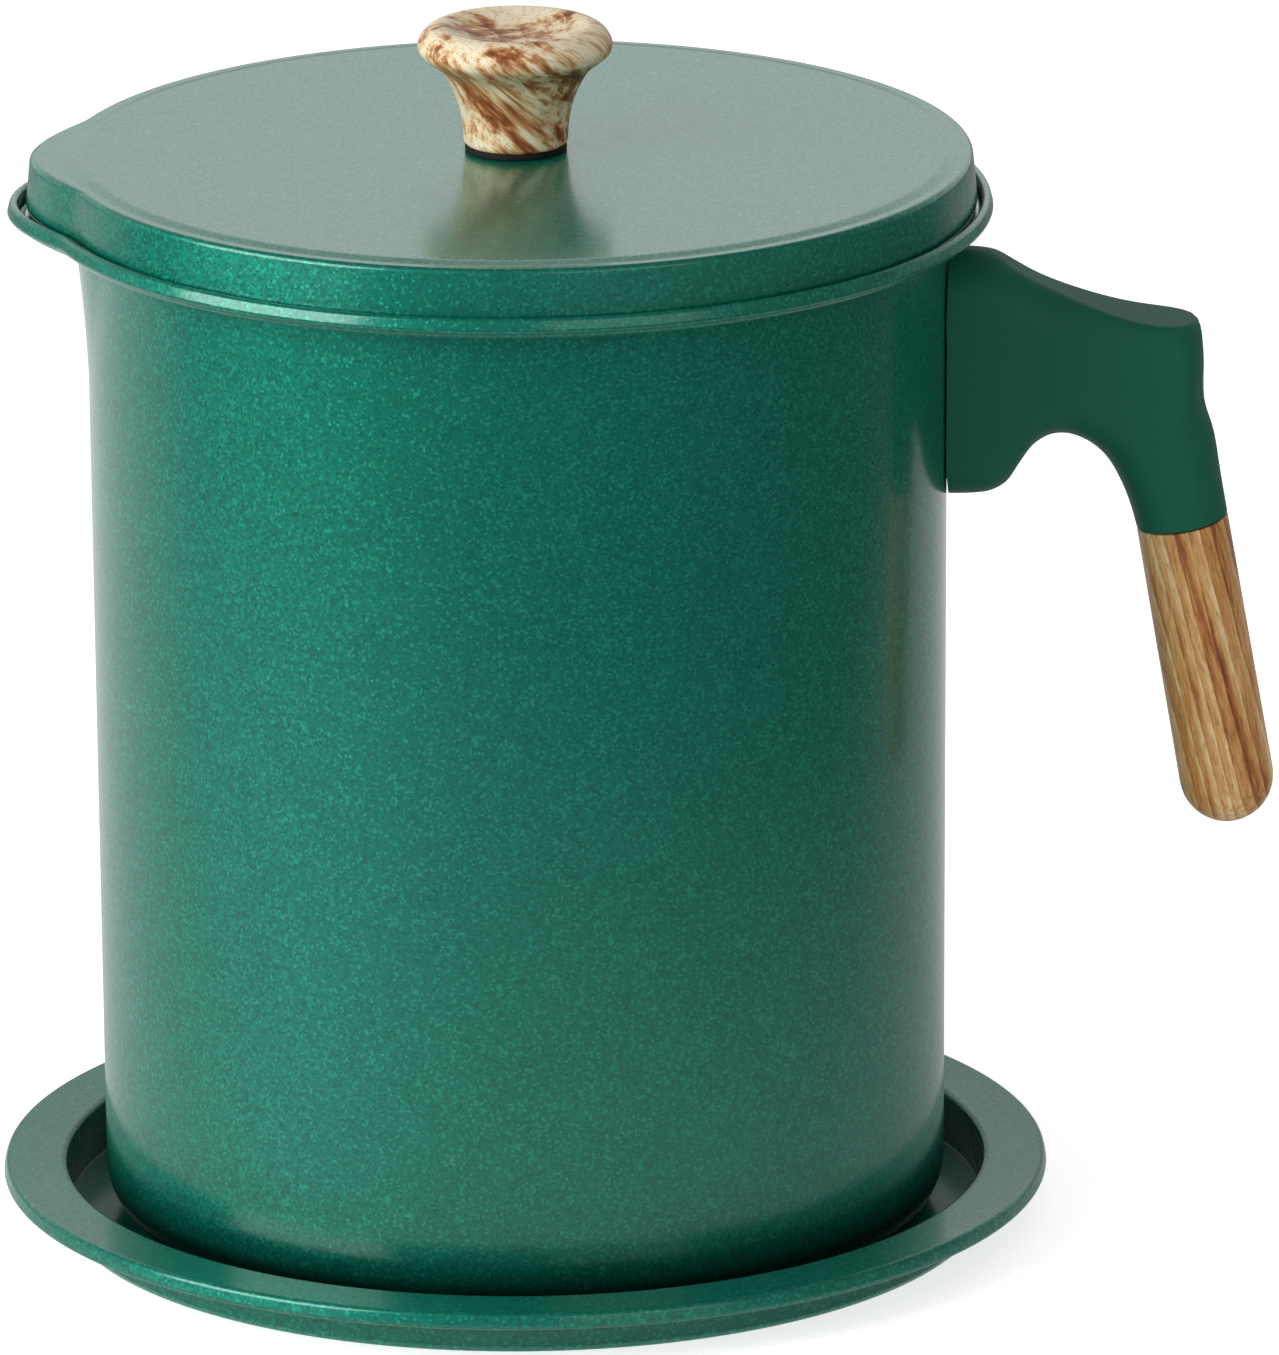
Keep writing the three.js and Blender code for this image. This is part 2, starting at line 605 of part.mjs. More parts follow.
function buildHandle() {
  const wallX = wallAtHandle + seatGap;
  const saddleX = wallX + bracketGauge;
  const stubX = saddleX + bracketStubLength;
  const saddleLow = screwZ - bracketSaddleHeight / 2;
  const saddleHigh = screwZ + bracketSaddleHeight / 2;
  const insideX = potFootRadius / 2;

  // bracket: a curved saddle on the wall with a hollow stub that holds the nut
  const saddleBox = boxSolid(
    new THREE.Vector3(insideX, -bracketSaddleWidth / 2, saddleLow),
    new THREE.Vector3(saddleX + bracketGauge, bracketSaddleWidth / 2, saddleHigh),
  );
  const saddle = saddleBox
    .intersect(potEnvelope(seatGap + bracketGauge, saddleLow - cutOverrun, saddleHigh + cutOverrun));
  const stub = boxSolid(
    new THREE.Vector3(insideX, -bracketStubWidth / 2, screwZ - bracketStubHeight / 2),
    new THREE.Vector3(stubX, bracketStubWidth / 2, screwZ + bracketStubHeight / 2),
  );
  const hollowWidth = bracketStubWidth - 2 * bracketGauge;
  const hollowHeight = bracketStubHeight - 2 * bracketGauge;
  const hollow = boxSolid(
    new THREE.Vector3(insideX, -hollowWidth / 2, screwZ - hollowHeight / 2),
    new THREE.Vector3(stubX - bracketGauge, hollowWidth / 2, screwZ + hollowHeight / 2),
  );
  const bracket = saddle
    .add(stub)
    .subtract(potEnvelope(seatGap, saddleLow - cutOverrun, saddleHigh + cutOverrun))
    .subtract(hollow)
    .subtract(screwRod(handleScrewRadius + threadGap, wallX, stubX + cutOverrun));
  addPiece('handle_bracket', geometryOf(bracket), stainless);

  // the nut inside the stub
  const nutX = stubX - bracketGauge - seatGap - nutHeight;
  const cornerRadius = nutAcrossFlats / 2 / Math.cos(Math.PI / 6);
  const corner = new THREE.Vector2(cornerRadius, 0);
  const origin = new THREE.Vector2();
  const hexagon = new THREE.Shape(evenAngles(6).map((angle) => corner.clone().rotateAround(origin, angle)));
  hexagon.holes.push(new THREE.Path().absarc(0, 0, handleScrewRadius + threadGap, 0, 2 * Math.PI));
  const nut = new THREE.ExtrudeGeometry(hexagon,
    { depth: nutHeight, bevelEnabled: false, curveSegments: smallSteps });
  const nutMesh = addPiece('handle_weld_nut', nut, zincSteel);
  nutMesh.rotation.y = Math.PI / 2;
  nutMesh.position.set(nutX, 0, screwZ);

  // arm: the blank less the pot, the bracket's socket, the screw's hole and the thumb rest
  const socketX = stubX + seatGap;
  const seatX = socketX + armWebLength;
  const backX = wallAtHandle + armReach + armCrown;
  const saddleSocket = boxSolid(
    new THREE.Vector3(insideX, -bracketSaddleWidth / 2 - seatGap, saddleLow - seatGap),
    new THREE.Vector3(saddleX + seatGap, bracketSaddleWidth / 2 + seatGap, saddleHigh + seatGap),
  );
  const stubSocket = boxSolid(
    new THREE.Vector3(insideX, -bracketStubWidth / 2 - seatGap, screwZ - bracketStubHeight / 2 - seatGap),
    new THREE.Vector3(socketX, bracketStubWidth / 2 + seatGap, screwZ + bracketStubHeight / 2 + seatGap),
  );
  const arm = solidOf(armBlank())
    .add(solidOf(tenon(0, -cutOverrun, tenonLength)))
    .subtract(potEnvelope(seatGap, armHeelZ - armHeight, ledgeZ))
    .subtract(thumbRestCut())
    .subtract(saddleSocket)
    .subtract(stubSocket)
    .subtract(screwRod(handleScrewRadius + threadGap, wallX, seatX + cutOverrun))
    .subtract(screwRod(washerRadius + seatGap, seatX, backX));
  addPiece('handle_arm', geometryOf(arm), moulded);

  // screw and washers, from the arm's web outwards
  const washerBore = handleScrewRadius + threadGap;
  const flatX = seatX + seatGap;
  const flatWasher = addPiece('handle_flat_washer',
    ring(washerBore, washerRadius, 0, flatWasherThickness, smallSteps), zincSteel);
  flatWasher.rotation.y = Math.PI / 2;
  flatWasher.position.set(flatX, 0, screwZ);

  const springX = flatX + flatWasherThickness + seatGap;
  const slit = new THREE.Shape()
    .absarc(0, 0, handleScrewHeadRadius, springWasherSlit / 2, 2 * Math.PI - springWasherSlit / 2, false)
    .absarc(0, 0, washerBore, 2 * Math.PI - springWasherSlit / 2, springWasherSlit / 2, true);
  const spring = new THREE.ExtrudeGeometry(slit,
    { depth: springWasherThickness, bevelEnabled: false, curveSegments: smallSteps });
  const springWasher = addPiece('handle_spring_washer', spring, zincSteel);
  springWasher.rotation.y = Math.PI / 2;
  springWasher.position.set(springX, 0, screwZ);

  const headX = springX + springWasherThickness + seatGap;
  const screwLength = headX - nutX + handleScrewPastNut;
  const screw = panScrew(handleScrewRadius, screwLength, handleScrewHeadRadius, handleScrewHeadHeight);
  const handleScrew = addPiece('handle_screw', screw, zincSteel);
  handleScrew.rotation.y = -Math.PI / 2;
  handleScrew.position.set(headX, 0, screwZ);

  // plug: closes the screw's hole flush with the arm's rounded back
  const plugX = headX + handleScrewHeadHeight + plugGap;
  const plug = solidOf(armBlank()).intersect(screwRod(washerRadius, plugX, backX));
  addPiece('handle_screw_plug', geometryOf(plug), moulded);

  // grip: an oval sleeve with a round end and a socket for the tenon
  const endRadius = gripEndWidth / 2;
  const endStart = gripLength - endRadius;
  const endAngles = Array.from({ length: cornerSteps }, (_, k) => (k / cornerSteps) * (Math.PI / 2));
  const sections = [
    ovalSection(seatGap, gripWidth, gripThickness),
    ...endAngles.map((angle) => {
      const share = Math.cos(angle);
      return ovalSection(endStart + endRadius * Math.sin(angle), gripEndWidth * share, gripThickness * share);
    }),
  ];
  sections.push(ovalSection(gripLength, gripEndWidth * gripTipShare, gripThickness * gripTipShare));
  const gripSocket = solidOf(tenon(seatGap, -cutOverrun, tenonLength + seatGap));
  const grip = solidOf(lofted(sections)).subtract(gripSocket);
  addPiece('handle_grip', geometryOf(grip), woodPrint);
}

buildTray();
buildPot();
buildStrainer();
buildLid();
buildKnob();
buildHandle();

export default potAssembly;
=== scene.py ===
import math

import bpy
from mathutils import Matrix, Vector


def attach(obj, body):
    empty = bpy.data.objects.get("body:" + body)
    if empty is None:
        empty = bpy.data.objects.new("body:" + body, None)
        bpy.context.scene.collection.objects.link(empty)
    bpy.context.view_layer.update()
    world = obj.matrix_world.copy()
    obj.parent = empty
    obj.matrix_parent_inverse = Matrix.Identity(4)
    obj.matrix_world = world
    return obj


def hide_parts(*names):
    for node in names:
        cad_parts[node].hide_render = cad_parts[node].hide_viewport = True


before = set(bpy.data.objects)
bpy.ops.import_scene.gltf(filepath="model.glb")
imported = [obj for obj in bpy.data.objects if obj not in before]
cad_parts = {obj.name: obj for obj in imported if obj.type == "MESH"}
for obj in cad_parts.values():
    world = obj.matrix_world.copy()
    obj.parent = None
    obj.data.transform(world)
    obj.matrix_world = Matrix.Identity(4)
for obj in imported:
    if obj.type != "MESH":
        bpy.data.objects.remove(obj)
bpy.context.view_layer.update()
mm = 0.001


# The photograph's camera, fitted to the ellipses of the lid, the rim, the foot and the tray. Lengths
# are in mm.
photoView = {
    "distance": 2550,
    "elevation": 16.6,  # degrees above the table
    "roll": -0.41,  # degrees
    "pivotHeight": 85,
    "aim": (18.86, 0, 87.92),
    "pixelsPerMm": 6.285,
    "imageHeight": 1355,  # pixels on the long side
    "sensor": 36,
    "clip": (0.1, 50),  # metres
}


def addCamera(view):
    lift = math.radians(view["elevation"])
    back, rise = view["distance"] * math.cos(lift), view["distance"] * math.sin(lift)
    place = Vector((0, -back, view["pivotHeight"] + rise)) * mm
    gaze = Vector(view["aim"]) * mm - place
    turn = gaze.to_track_quat("-Z", "Y").to_matrix().to_4x4()
    bpy.ops.object.camera_add(location=place, rotation=turn.to_euler())
    camera = bpy.context.object
    camera.name = "photoCamera"
    camera.rotation_euler.rotate_axis("Z", math.radians(view["roll"]))
    camera.data.sensor_width = view["sensor"]
    camera.data.lens = view["pixelsPerMm"] * view["distance"] * view["sensor"] / view["imageHeight"]
    camera.data.clip_start, camera.data.clip_end = view["clip"]
    bpy.context.scene.camera = camera


addCamera(photoView)
print("camera placed")


def srgb(code):
    # sRGB hex to the linear colour that Blender's sockets take
    parts = [int(code[i:i + 2], 16) / 255 for i in (1, 3, 5)]
    return tuple(p / 12.92 if p <= 0.04045 else ((p + 0.055) / 1.055) ** 2.4 for p in parts) + (1,)


def addNode(tree, kind, settings={}, inputs={}):
    node = tree.nodes.new(kind)
    for key, value in settings.items():
        setattr(node, key, value)
    for key, value in inputs.items():
        if isinstance(value, bpy.types.NodeSocket):
            tree.links.new(value, node.inputs[key])
        else:
            node.inputs[key].default_value = value
    return node


def newMaterial(name):
    material = bpy.data.materials.new(name)
    material.use_nodes = True
    material.node_tree.nodes.clear()
    return material, material.node_tree


def setRamp(node, stops):
    ramp = node.color_ramp
    while len(ramp.elements) < len(stops):
        ramp.elements.new(0.5)
    for element, (place, code) in zip(ramp.elements, stops):
        element.position = place
        element.color = srgb(code)
    return node.outputs["Color"]


def perMetre(millimetres):
    # texture scale for a pattern whose features are this wide
    return 1000 / millimetres


# Stove enamel with pearl flakes, sprayed and baked. The flakes sparkle faintly, the colour glows
# deep green towards a lamp, and the clear top coat turns grey where it is seen at a slant.
pearlEnamel = {
    "shade": "#036150", "shine": "#0a937c",
    "flake": 0.42,  # mm, coarser than real flakes so that they show
    "flakeTilt": 0.2, "glintSpan": 0.6,
    "spark": "#1f9a80", "sparkShare": 0.86,  # flakes above this share catch the light fully
    "cloud": 9, "cloudLow": 0.15, "cloudHigh": 0.35,  # mm, and how the spray's thickness drifts
    "metallic": 0.65, "roughness": 0.5, "coatRoughness": 0.17, "coatIor": 1.6,
    # painted shade: the pot's rounded foot is darkened down by the tray, where shade and the tray's dark
    # reflection fall; its limits are in mm
    "footShadeColour": "#01150f", "footShadeMost": 0.9,
    "footRadius": 72.2, "trayFloor": 0.95, "footFrom": 7, "footTo": 16,
}


def makePearlEnamel(look):
    material, tree = newMaterial("pearlStoveEnamel")
    where = addNode(tree, "ShaderNodeTexCoord").outputs["Object"]
    flakes = addNode(tree, "ShaderNodeTexVoronoi",
                     inputs={"Vector": where, "Scale": perMetre(look["flake"])})
    cloud = addNode(tree, "ShaderNodeTexNoise",
                    inputs={"Vector": where, "Scale": perMetre(look["cloud"]), "Detail": 3})
    glint = addNode(tree, "ShaderNodeSeparateColor", inputs={"Color": flakes.outputs["Color"]})
    drift = addNode(tree, "ShaderNodeMapRange", inputs={
        "Value": cloud.outputs["Fac"], "To Min": look["cloudLow"], "To Max": look["cloudHigh"]})
    share = addNode(tree, "ShaderNodeMath", {"operation": "MULTIPLY_ADD"},
                    {0: glint.outputs["Red"], 1: look["glintSpan"], 2: drift.outputs["Result"]})
    deep = addNode(tree, "ShaderNodeMix", {"data_type": "RGBA"},
                   {"Factor": share.outputs[0], "A": srgb(look["shade"]), "B": srgb(look["shine"])})
    spark = addNode(tree, "ShaderNodeMath", {"operation": "GREATER_THAN"},
                    {0: glint.outputs["Green"], 1: look["sparkShare"]})
    pearl = addNode(tree, "ShaderNodeMix", {"data_type": "RGBA"},
                    {"Factor": spark.outputs[0], "A": deep.outputs["Result"], "B": srgb(look["spark"])})

    # the painted shade's share on the pot's foot: within the tray's wall and above its floor, fading out
    # upwards
    flat = addNode(tree, "ShaderNodeVectorMath", {"operation": "MULTIPLY"}, {0: where, 1: (1, 1, 0)})
    radius = addNode(tree, "ShaderNodeVectorMath", {"operation": "LENGTH"}, {0: flat.outputs["Vector"]})
    height = addNode(tree, "ShaderNodeSeparateXYZ", inputs={"Vector": where}).outputs["Z"]
    within = addNode(tree, "ShaderNodeMath", {"operation": "LESS_THAN"},
                     {0: radius.outputs["Value"], 1: look["footRadius"] * mm})
    above = addNode(tree, "ShaderNodeMath", {"operation": "GREATER_THAN"},
                    {0: height, 1: look["trayFloor"] * mm})
    onPot = addNode(tree, "ShaderNodeMath", {"operation": "MULTIPLY"},
                    {0: within.outputs[0], 1: above.outputs[0]})
    fade = addNode(tree, "ShaderNodeMapRange", inputs={
        "Value": height, "From Min": look["footFrom"] * mm, "From Max": look["footTo"] * mm,
        "To Min": look["footShadeMost"], "To Max": 0})
    footShade = addNode(tree, "ShaderNodeMath", {"operation": "MULTIPLY"},
                   {0: onPot.outputs[0], 1: fade.outputs["Result"]})
    # painted shade: the foot's colour is mixed towards near black
    colour = addNode(tree, "ShaderNodeMix", {"data_type": "RGBA"},
                     {"Factor": footShade.outputs[0], "A": pearl.outputs["Result"], "B": srgb(look["footShadeColour"])})

    # each flake lies at its own small tilt
    lean = addNode(tree, "ShaderNodeVectorMath", {"operation": "SUBTRACT"},
                   {0: flakes.outputs["Color"], 1: (0.5, 0.5, 0.5)})
    upright = addNode(tree, "ShaderNodeNewGeometry").outputs["Normal"]
    tilted = addNode(tree, "ShaderNodeVectorMath", {"operation": "MULTIPLY_ADD"},
                     {0: lean.outputs["Vector"], 1: (look["flakeTilt"],) * 3, 2: upright})
    normal = addNode(tree, "ShaderNodeVectorMath", {"operation": "NORMALIZE"},
                     {0: tilted.outputs["Vector"]})
    shader = addNode(tree, "ShaderNodeBsdfPrincipled", inputs={
        "Base Color": colour.outputs["Result"],
        "Metallic": look["metallic"],
        "Roughness": look["roughness"],
        "Specular IOR Level": 0,  # the coat alone has a clear surface
        "Normal": normal.outputs["Vector"],
        "Coat Weight": 1,
        "Coat Roughness": look["coatRoughness"],
        "Coat IOR": look["coatIor"],
    })
    addNode(tree, "ShaderNodeOutputMaterial", inputs={"Surface": shader.outputs["BSDF"]})
    return material


# Moulded phenolic in one deep green. It is matte with a faint sheen on its rounded edges. Its skin,
# the grain of the mould, is drawn coarser than it is so that it shows.
greenPhenolic = {
    "base": "#1c644c", "roughness": 0.5, "roughSpread": 0.04, "specular": 0.14,
    "skin": 0.6, "skinStrength": 0.25, "skinDepth": 0.02, "flow": 14,  # mm
}


def makeGreenPhenolic(look):
    material, tree = newMaterial("mouldedGreenPhenolic")
    where = addNode(tree, "ShaderNodeTexCoord").outputs["Object"]
    skin = addNode(tree, "ShaderNodeTexNoise",
                   inputs={"Vector": where, "Scale": perMetre(look["skin"]), "Detail": 2})
    bump = addNode(tree, "ShaderNodeBump", inputs={
        "Height": skin.outputs["Fac"], "Strength": look["skinStrength"],
        "Distance": look["skinDepth"] * mm})
    flow = addNode(tree, "ShaderNodeTexNoise",
                   inputs={"Vector": where, "Scale": perMetre(look["flow"]), "Detail": 2})
    dull = addNode(tree, "ShaderNodeMapRange", inputs={
        "Value": flow.outputs["Fac"], "To Min": look["roughness"] - look["roughSpread"],
        "To Max": look["roughness"] + look["roughSpread"]})
    shader = addNode(tree, "ShaderNodeBsdfPrincipled", inputs={
        "Base Color": srgb(look["base"]),
        "Roughness": dull.outputs["Result"],
        "Specular IOR Level": look["specular"],
        "Normal": bump.outputs["Normal"],
    })
    addNode(tree, "ShaderNodeOutputMaterial", inputs={"Surface": shader.outputs["BSDF"]})
    return material


# Wood-grain film under satin lacquer on a moulding. Reddish-brown streaks gather in broad bands
# on cream and tan, and fine dark pores lie along them, drawn wider than printed ones so that they
# show. Widths are in mm and turns in degrees. The weights and the level add up to a place on the
# stops, from the darkest streak to the palest ground.
woodLacquer = {"roughness": 0.42, "poreFrom": 0.54, "poreTo": 0.72, "poreStrength": 0.15, "poreDepth": 0.05}
knobGrain = {
    "name": "woodFilmKnob",
    "centre": (13, 7, 185), "turn": (0, -48, 20), "stretch": (1, 1, 0.22), "streakStretch": (1, 1, 0.35),
    "band": 6, "line": 3, "waver": 9, "waverScale": 0.35, "streak": 1.1, "pore": 0.45,
    "bandWeight": 1.9, "lineWeight": 0.17, "streakWeight": 1.2, "level": -1.15,
    "stops": [(0.0, "#6b3419"), (0.2, "#a05b30"), (0.36, "#cf9a67"), (0.5, "#efd6aa"), (0.75, "#fbeccd")],
    "poreColour": "#6b4426", "poreShare": 0.6,
}
gripGrain = {
    "name": "woodFilmGrip",
    "centre": (160, 17, 60), "turn": (0, -14, 0), "stretch": (1, 1, 0.08), "streakStretch": (1, 1, 1.6),
    "band": 6, "line": 1.9, "waver": 3.5, "waverScale": 0.6, "streak": 0.6, "pore": 0.4,
    "bandWeight": 1.6, "lineWeight": 0.4, "streakWeight": 0.9, "level": -0.87,
    "stops": [(0.0, "#753818"), (0.25, "#a8622f"), (0.45, "#cd9150"), (0.65, "#e0ae6e"), (0.9, "#f5d8a2")],
    "poreColour": "#6d4526", "poreShare": 0.55,
}


def makeWoodFilm(look):
    material, tree = newMaterial(look["name"])
    where = addNode(tree, "ShaderNodeTexCoord").outputs["Object"]
    centred = addNode(tree, "ShaderNodeMapping", {"vector_type": "TEXTURE"}, {
        "Vector": where, "Location": tuple(Vector(look["centre"]) * mm),
        "Rotation": tuple(math.radians(a) for a in look["turn"]),
        "Scale": tuple(1 / s for s in look["stretch"])})
    grain = centred.outputs["Vector"]
    drawn = addNode(tree, "ShaderNodeVectorMath", {"operation": "MULTIPLY"},
                    {0: grain, 1: look["streakStretch"]})
    along = drawn.outputs["Vector"]
    bands = addNode(tree, "ShaderNodeTexNoise", inputs={
        "Vector": grain, "Scale": perMetre(look["band"]), "Detail": 2, "Distortion": 0.5})
    streaks = addNode(tree, "ShaderNodeTexNoise", inputs={
        "Vector": along, "Scale": perMetre(look["streak"]), "Detail": 3, "Roughness": 0.6,
        "Distortion": 0.3})
    level = addNode(tree, "ShaderNodeMath", {"operation": "MULTIPLY_ADD"}, {
        0: bands.outputs["Fac"], 1: look["bandWeight"], 2: look["level"]})
    # at scale 1 Blender's waves repeat every tau / 20
    lines = addNode(tree, "ShaderNodeTexWave", {"wave_profile": "SAW"}, {
        "Vector": grain, "Scale": perMetre(look["line"]) * math.tau / 20, "Distortion": look["waver"],
        "Detail": 3, "Detail Scale": look["waverScale"], "Detail Roughness": 0.6})
    level = addNode(tree, "ShaderNodeMath", {"operation": "MULTIPLY_ADD"}, {
        0: lines.outputs["Fac"], 1: look["lineWeight"], 2: level.outputs[0]})
    level = addNode(tree, "ShaderNodeMath", {"operation": "MULTIPLY_ADD"}, {
        0: streaks.outputs["Fac"], 1: look["streakWeight"], 2: level.outputs[0]})
    colour = setRamp(addNode(tree, "ShaderNodeValToRGB", inputs={"Fac": level.outputs[0]}), look["stops"])
    pores = addNode(tree, "ShaderNodeTexNoise", inputs={
        "Vector": along, "Scale": perMetre(look["pore"]), "Detail": 2, "Roughness": 0.7})
    poreShare = addNode(tree, "ShaderNodeMapRange", inputs={
        "Value": pores.outputs["Fac"], "From Min": woodLacquer["poreFrom"],
        "From Max": woodLacquer["poreTo"], "To Min": 0, "To Max": look["poreShare"]})
    stained = addNode(tree, "ShaderNodeMix", {"data_type": "RGBA"}, {
        "Factor": poreShare.outputs["Result"], "A": colour, "B": srgb(look["poreColour"])})
    bump = addNode(tree, "ShaderNodeBump", inputs={
        "Height": pores.outputs["Fac"], "Strength": woodLacquer["poreStrength"],
        "Distance": woodLacquer["poreDepth"] * mm})
    shader = addNode(tree, "ShaderNodeBsdfPrincipled", inputs={
        "Base Color": stained.outputs["Result"],
        "Roughness": woodLacquer["roughness"],
        "Normal": bump.outputs["Normal"],
    })
    addNode(tree, "ShaderNodeOutputMaterial", inputs={"Surface": shader.outputs["BSDF"]})
    return material


# Bare metals, drawn, plated or turned. Faint tool marks, drawn coarser than they are so that they
# show, break up the soft highlight.
toolMarks = {"polish": 0.08, "dull": 0.12, "strength": 0.08, "depth": 0.02}  # depth in mm
metals = {
    "stainless": {"name": "drawnStainless", "base": "#c6c7c5", "roughness": 0.26, "mark": 0.5},
    "zinc": {"name": "zincPlatedSteel", "base": "#b3b6b8", "roughness": 0.36, "mark": 0.9},
    "brass": {"name": "turnedBrass", "base": "#c2a258", "roughness": 0.3, "mark": 0.6},
}


def makeMetal(look):
    material, tree = newMaterial(look["name"])
    where = addNode(tree, "ShaderNodeTexCoord").outputs["Object"]
    marks = addNode(tree, "ShaderNodeTexNoise", inputs={
        "Vector": where, "Scale": perMetre(look["mark"]), "Detail": 3, "Roughness": 0.7})
    rough = addNode(tree, "ShaderNodeMapRange", inputs={
        "Value": marks.outputs["Fac"], "To Min": look["roughness"] - toolMarks["polish"],
        "To Max": look["roughness"] + toolMarks["dull"]})
    bump = addNode(tree, "ShaderNodeBump", inputs={
        "Height": marks.outputs["Fac"], "Strength": toolMarks["strength"],
        "Distance": toolMarks["depth"] * mm})
    shader = addNode(tree, "ShaderNodeBsdfPrincipled", inputs={
        "Base Color": srgb(look["base"]),
        "Metallic": 1,
        "Roughness": rough.outputs["Result"],
        "Normal": bump.outputs["Normal"],
    })
    addNode(tree, "ShaderNodeOutputMaterial", inputs={"Surface": shader.outputs["BSDF"]})
    return material


# Pressed rubber, black and dull with a dusty bloom.
blackRubber = {"base": "#030304", "bloom": "#08090a", "dust": 0.8, "roughness": 0.8}  # dust in mm


def makeRubber(look):
    material, tree = newMaterial("pressedRubber")
    where = addNode(tree, "ShaderNodeTexCoord").outputs["Object"]
    dust = addNode(tree, "ShaderNodeTexNoise",
                   inputs={"Vector": where, "Scale": perMetre(look["dust"]), "Detail": 2})
    colour = addNode(tree, "ShaderNodeMix", {"data_type": "RGBA"},
                     {"Factor": dust.outputs["Fac"], "A": srgb(look["base"]), "B": srgb(look["bloom"])})
    shader = addNode(tree, "ShaderNodeBsdfPrincipled",
                     inputs={"Base Color": colour.outputs["Result"], "Roughness": look["roughness"]})
    addNode(tree, "ShaderNodeOutputMaterial", inputs={"Surface": shader.outputs["BSDF"]})
    return material


finishes = {
    "green_paint": makePearlEnamel(pearlEnamel),
    "green_moulding": makeGreenPhenolic(greenPhenolic),
    "wood_knob": makeWoodFilm(knobGrain),
    "wood_grip": makeWoodFilm(gripGrain),
    "stainless": makeMetal(metals["stainless"]),
    "zinc_steel": makeMetal(metals["zinc"]),
    "brass": makeMetal(metals["brass"]),
    "black_rubber": makeRubber(blackRubber),
}
print("finishes made")


def selectOnly(*pieces):
    bpy.ops.object.select_all(action="DESELECT")
    for piece in pieces:
        piece.select_set(True)
    bpy.context.view_layer.objects.active = pieces[0]


def addShape(name, add, **settings):
    # adds a shape by its operator, names it, and puts its place into its mesh
    bpy.ops.object.select_all(action="DESELECT")
    add(**settings)
    shape = bpy.context.object
    shape.name = name
    bpy.ops.object.transform_apply()
    return shape


def roundLine(corners, stepDegrees=9):
    # corners are (x, z) or (x, z, radius), and a radius is drawn in steps of about this angle
    line = []
    for i, corner in enumerate(corners):
        here = Vector(corner[:2])
        if len(corner) < 3:
            line.append(here)
            continue
        before = (Vector(corners[i - 1][:2]) - here).normalized()
        after = (Vector(corners[i + 1][:2]) - here).normalized()
        half = before.angle(after) / 2
        radius = corner[2]
        middle = here + (before + after).normalized() * radius / math.sin(half)
        start = here + before * radius / math.tan(half) - middle
        sweep = math.pi - 2 * half
        side = 1 if before.cross(after) < 0 else -1
        steps = max(3, round(math.degrees(sweep) / stepDegrees))
        for k in range(steps + 1):
            angle = side * sweep * k / steps
            turned = Vector((start.x * math.cos(angle) - start.y * math.sin(angle),
                             start.x * math.sin(angle) + start.y * math.cos(angle)))
            line.append(middle + turned)
    return line


def smoothLine(points, perSpan):
    # a smooth curve through the points, with this many steps between two of them. The roots of
    # their distances keep it from looping where some lie close together.
    line = []
    ends = [points[0] * 2 - points[1], *points, points[-1] * 2 - points[-2]]
    for a, b, c, d in zip(ends, ends[1:], ends[2:], ends[3:]):
        ab, bc, cd = (max((q - p).length, 1e-6) ** 0.5 for p, q in ((a, b), (b, c), (c, d)))
        leave = ((b - a) / ab - (c - a) / (ab + bc) + (c - b) / bc) * bc
        arrive = ((c - b) / bc - (d - b) / (bc + cd) + (d - c) / cd) * bc
        for k in range(perSpan):
            t = k / perSpan
            line.append(b * (2 * t**3 - 3 * t**2 + 1) + leave * (t**3 - 2 * t**2 + t)
                        + c * (3 * t**2 - 2 * t**3) + arrive * (t**3 - t**2))
    return line + [points[-1]]


mergeGap = 0.005  # mm


def turnPiece(name, line, steps):
    # one vertex is drawn out along the line, and the line is spun about the pot's axis
    piece = addShape(name, bpy.ops.mesh.primitive_plane_add, size=mm)
    bpy.ops.object.mode_set(mode="EDIT")
    bpy.ops.mesh.select_all(action="SELECT")
    bpy.ops.mesh.merge(type="CENTER")
    bpy.ops.transform.translate(value=(line[0].x * mm, 0, line[0].y * mm))
    for here, ahead in zip(line, line[1:]):
        step = (ahead - here) * mm
        bpy.ops.mesh.extrude_vertices_move(TRANSFORM_OT_translate={"value": (step.x, 0, step.y)})
    bpy.ops.mesh.select_all(action="SELECT")
    bpy.ops.mesh.spin(steps=steps, angle=math.tau, center=(0, 0, 0), axis=(0, 0, 1), use_auto_merge=True)
    bpy.ops.mesh.select_all(action="SELECT")
    bpy.ops.mesh.remove_doubles(threshold=mergeGap * mm)
    bpy.ops.mesh.normals_make_consistent(inside=False)
    bpy.ops.object.mode_set(mode="OBJECT")
    return piece


def modify(piece, kind, **settings):
    selectOnly(piece)
    bpy.ops.object.modifier_add(type=kind)
    modifier = piece.modifiers[-1]
    for key, value in settings.items():
        setattr(modifier, key, value)
    bpy.ops.object.modifier_apply(modifier=modifier.name)


def thicken(piece, gauge, edge=0.12):
    # gives a pressed sheet its gauge, half on each side of its line, and blunts its cut edges
    modify(piece, "SOLIDIFY", thickness=gauge * mm, offset=0, use_even_offset=True,
           use_quality_normals=True)
    modify(piece, "BEVEL", width=edge * mm, segments=2, limit_method="ANGLE",
           angle_limit=math.radians(60))


def finishPiece(piece, body, slot, finish, *nodes, smooth=32):
    # shades the piece smooth but for edges over this angle, and gives it its finish and its body
    selectOnly(piece)
    bpy.ops.object.transform_apply()
    bpy.ops.object.shade_smooth_by_angle(angle=math.radians(smooth))
    modify(piece, "WEIGHTED_NORMAL", mode="FACE_AREA", keep_sharp=True)
    piece.data.materials.clear()
    piece.data.materials.append(finishes[finish])
    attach(piece, body)
    if nodes:
        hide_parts(*nodes)


spout = {"halfAngle": 18.5, "power": 1.25, "reach": 5.1, "innerReach": 4.6}  # degrees, mm


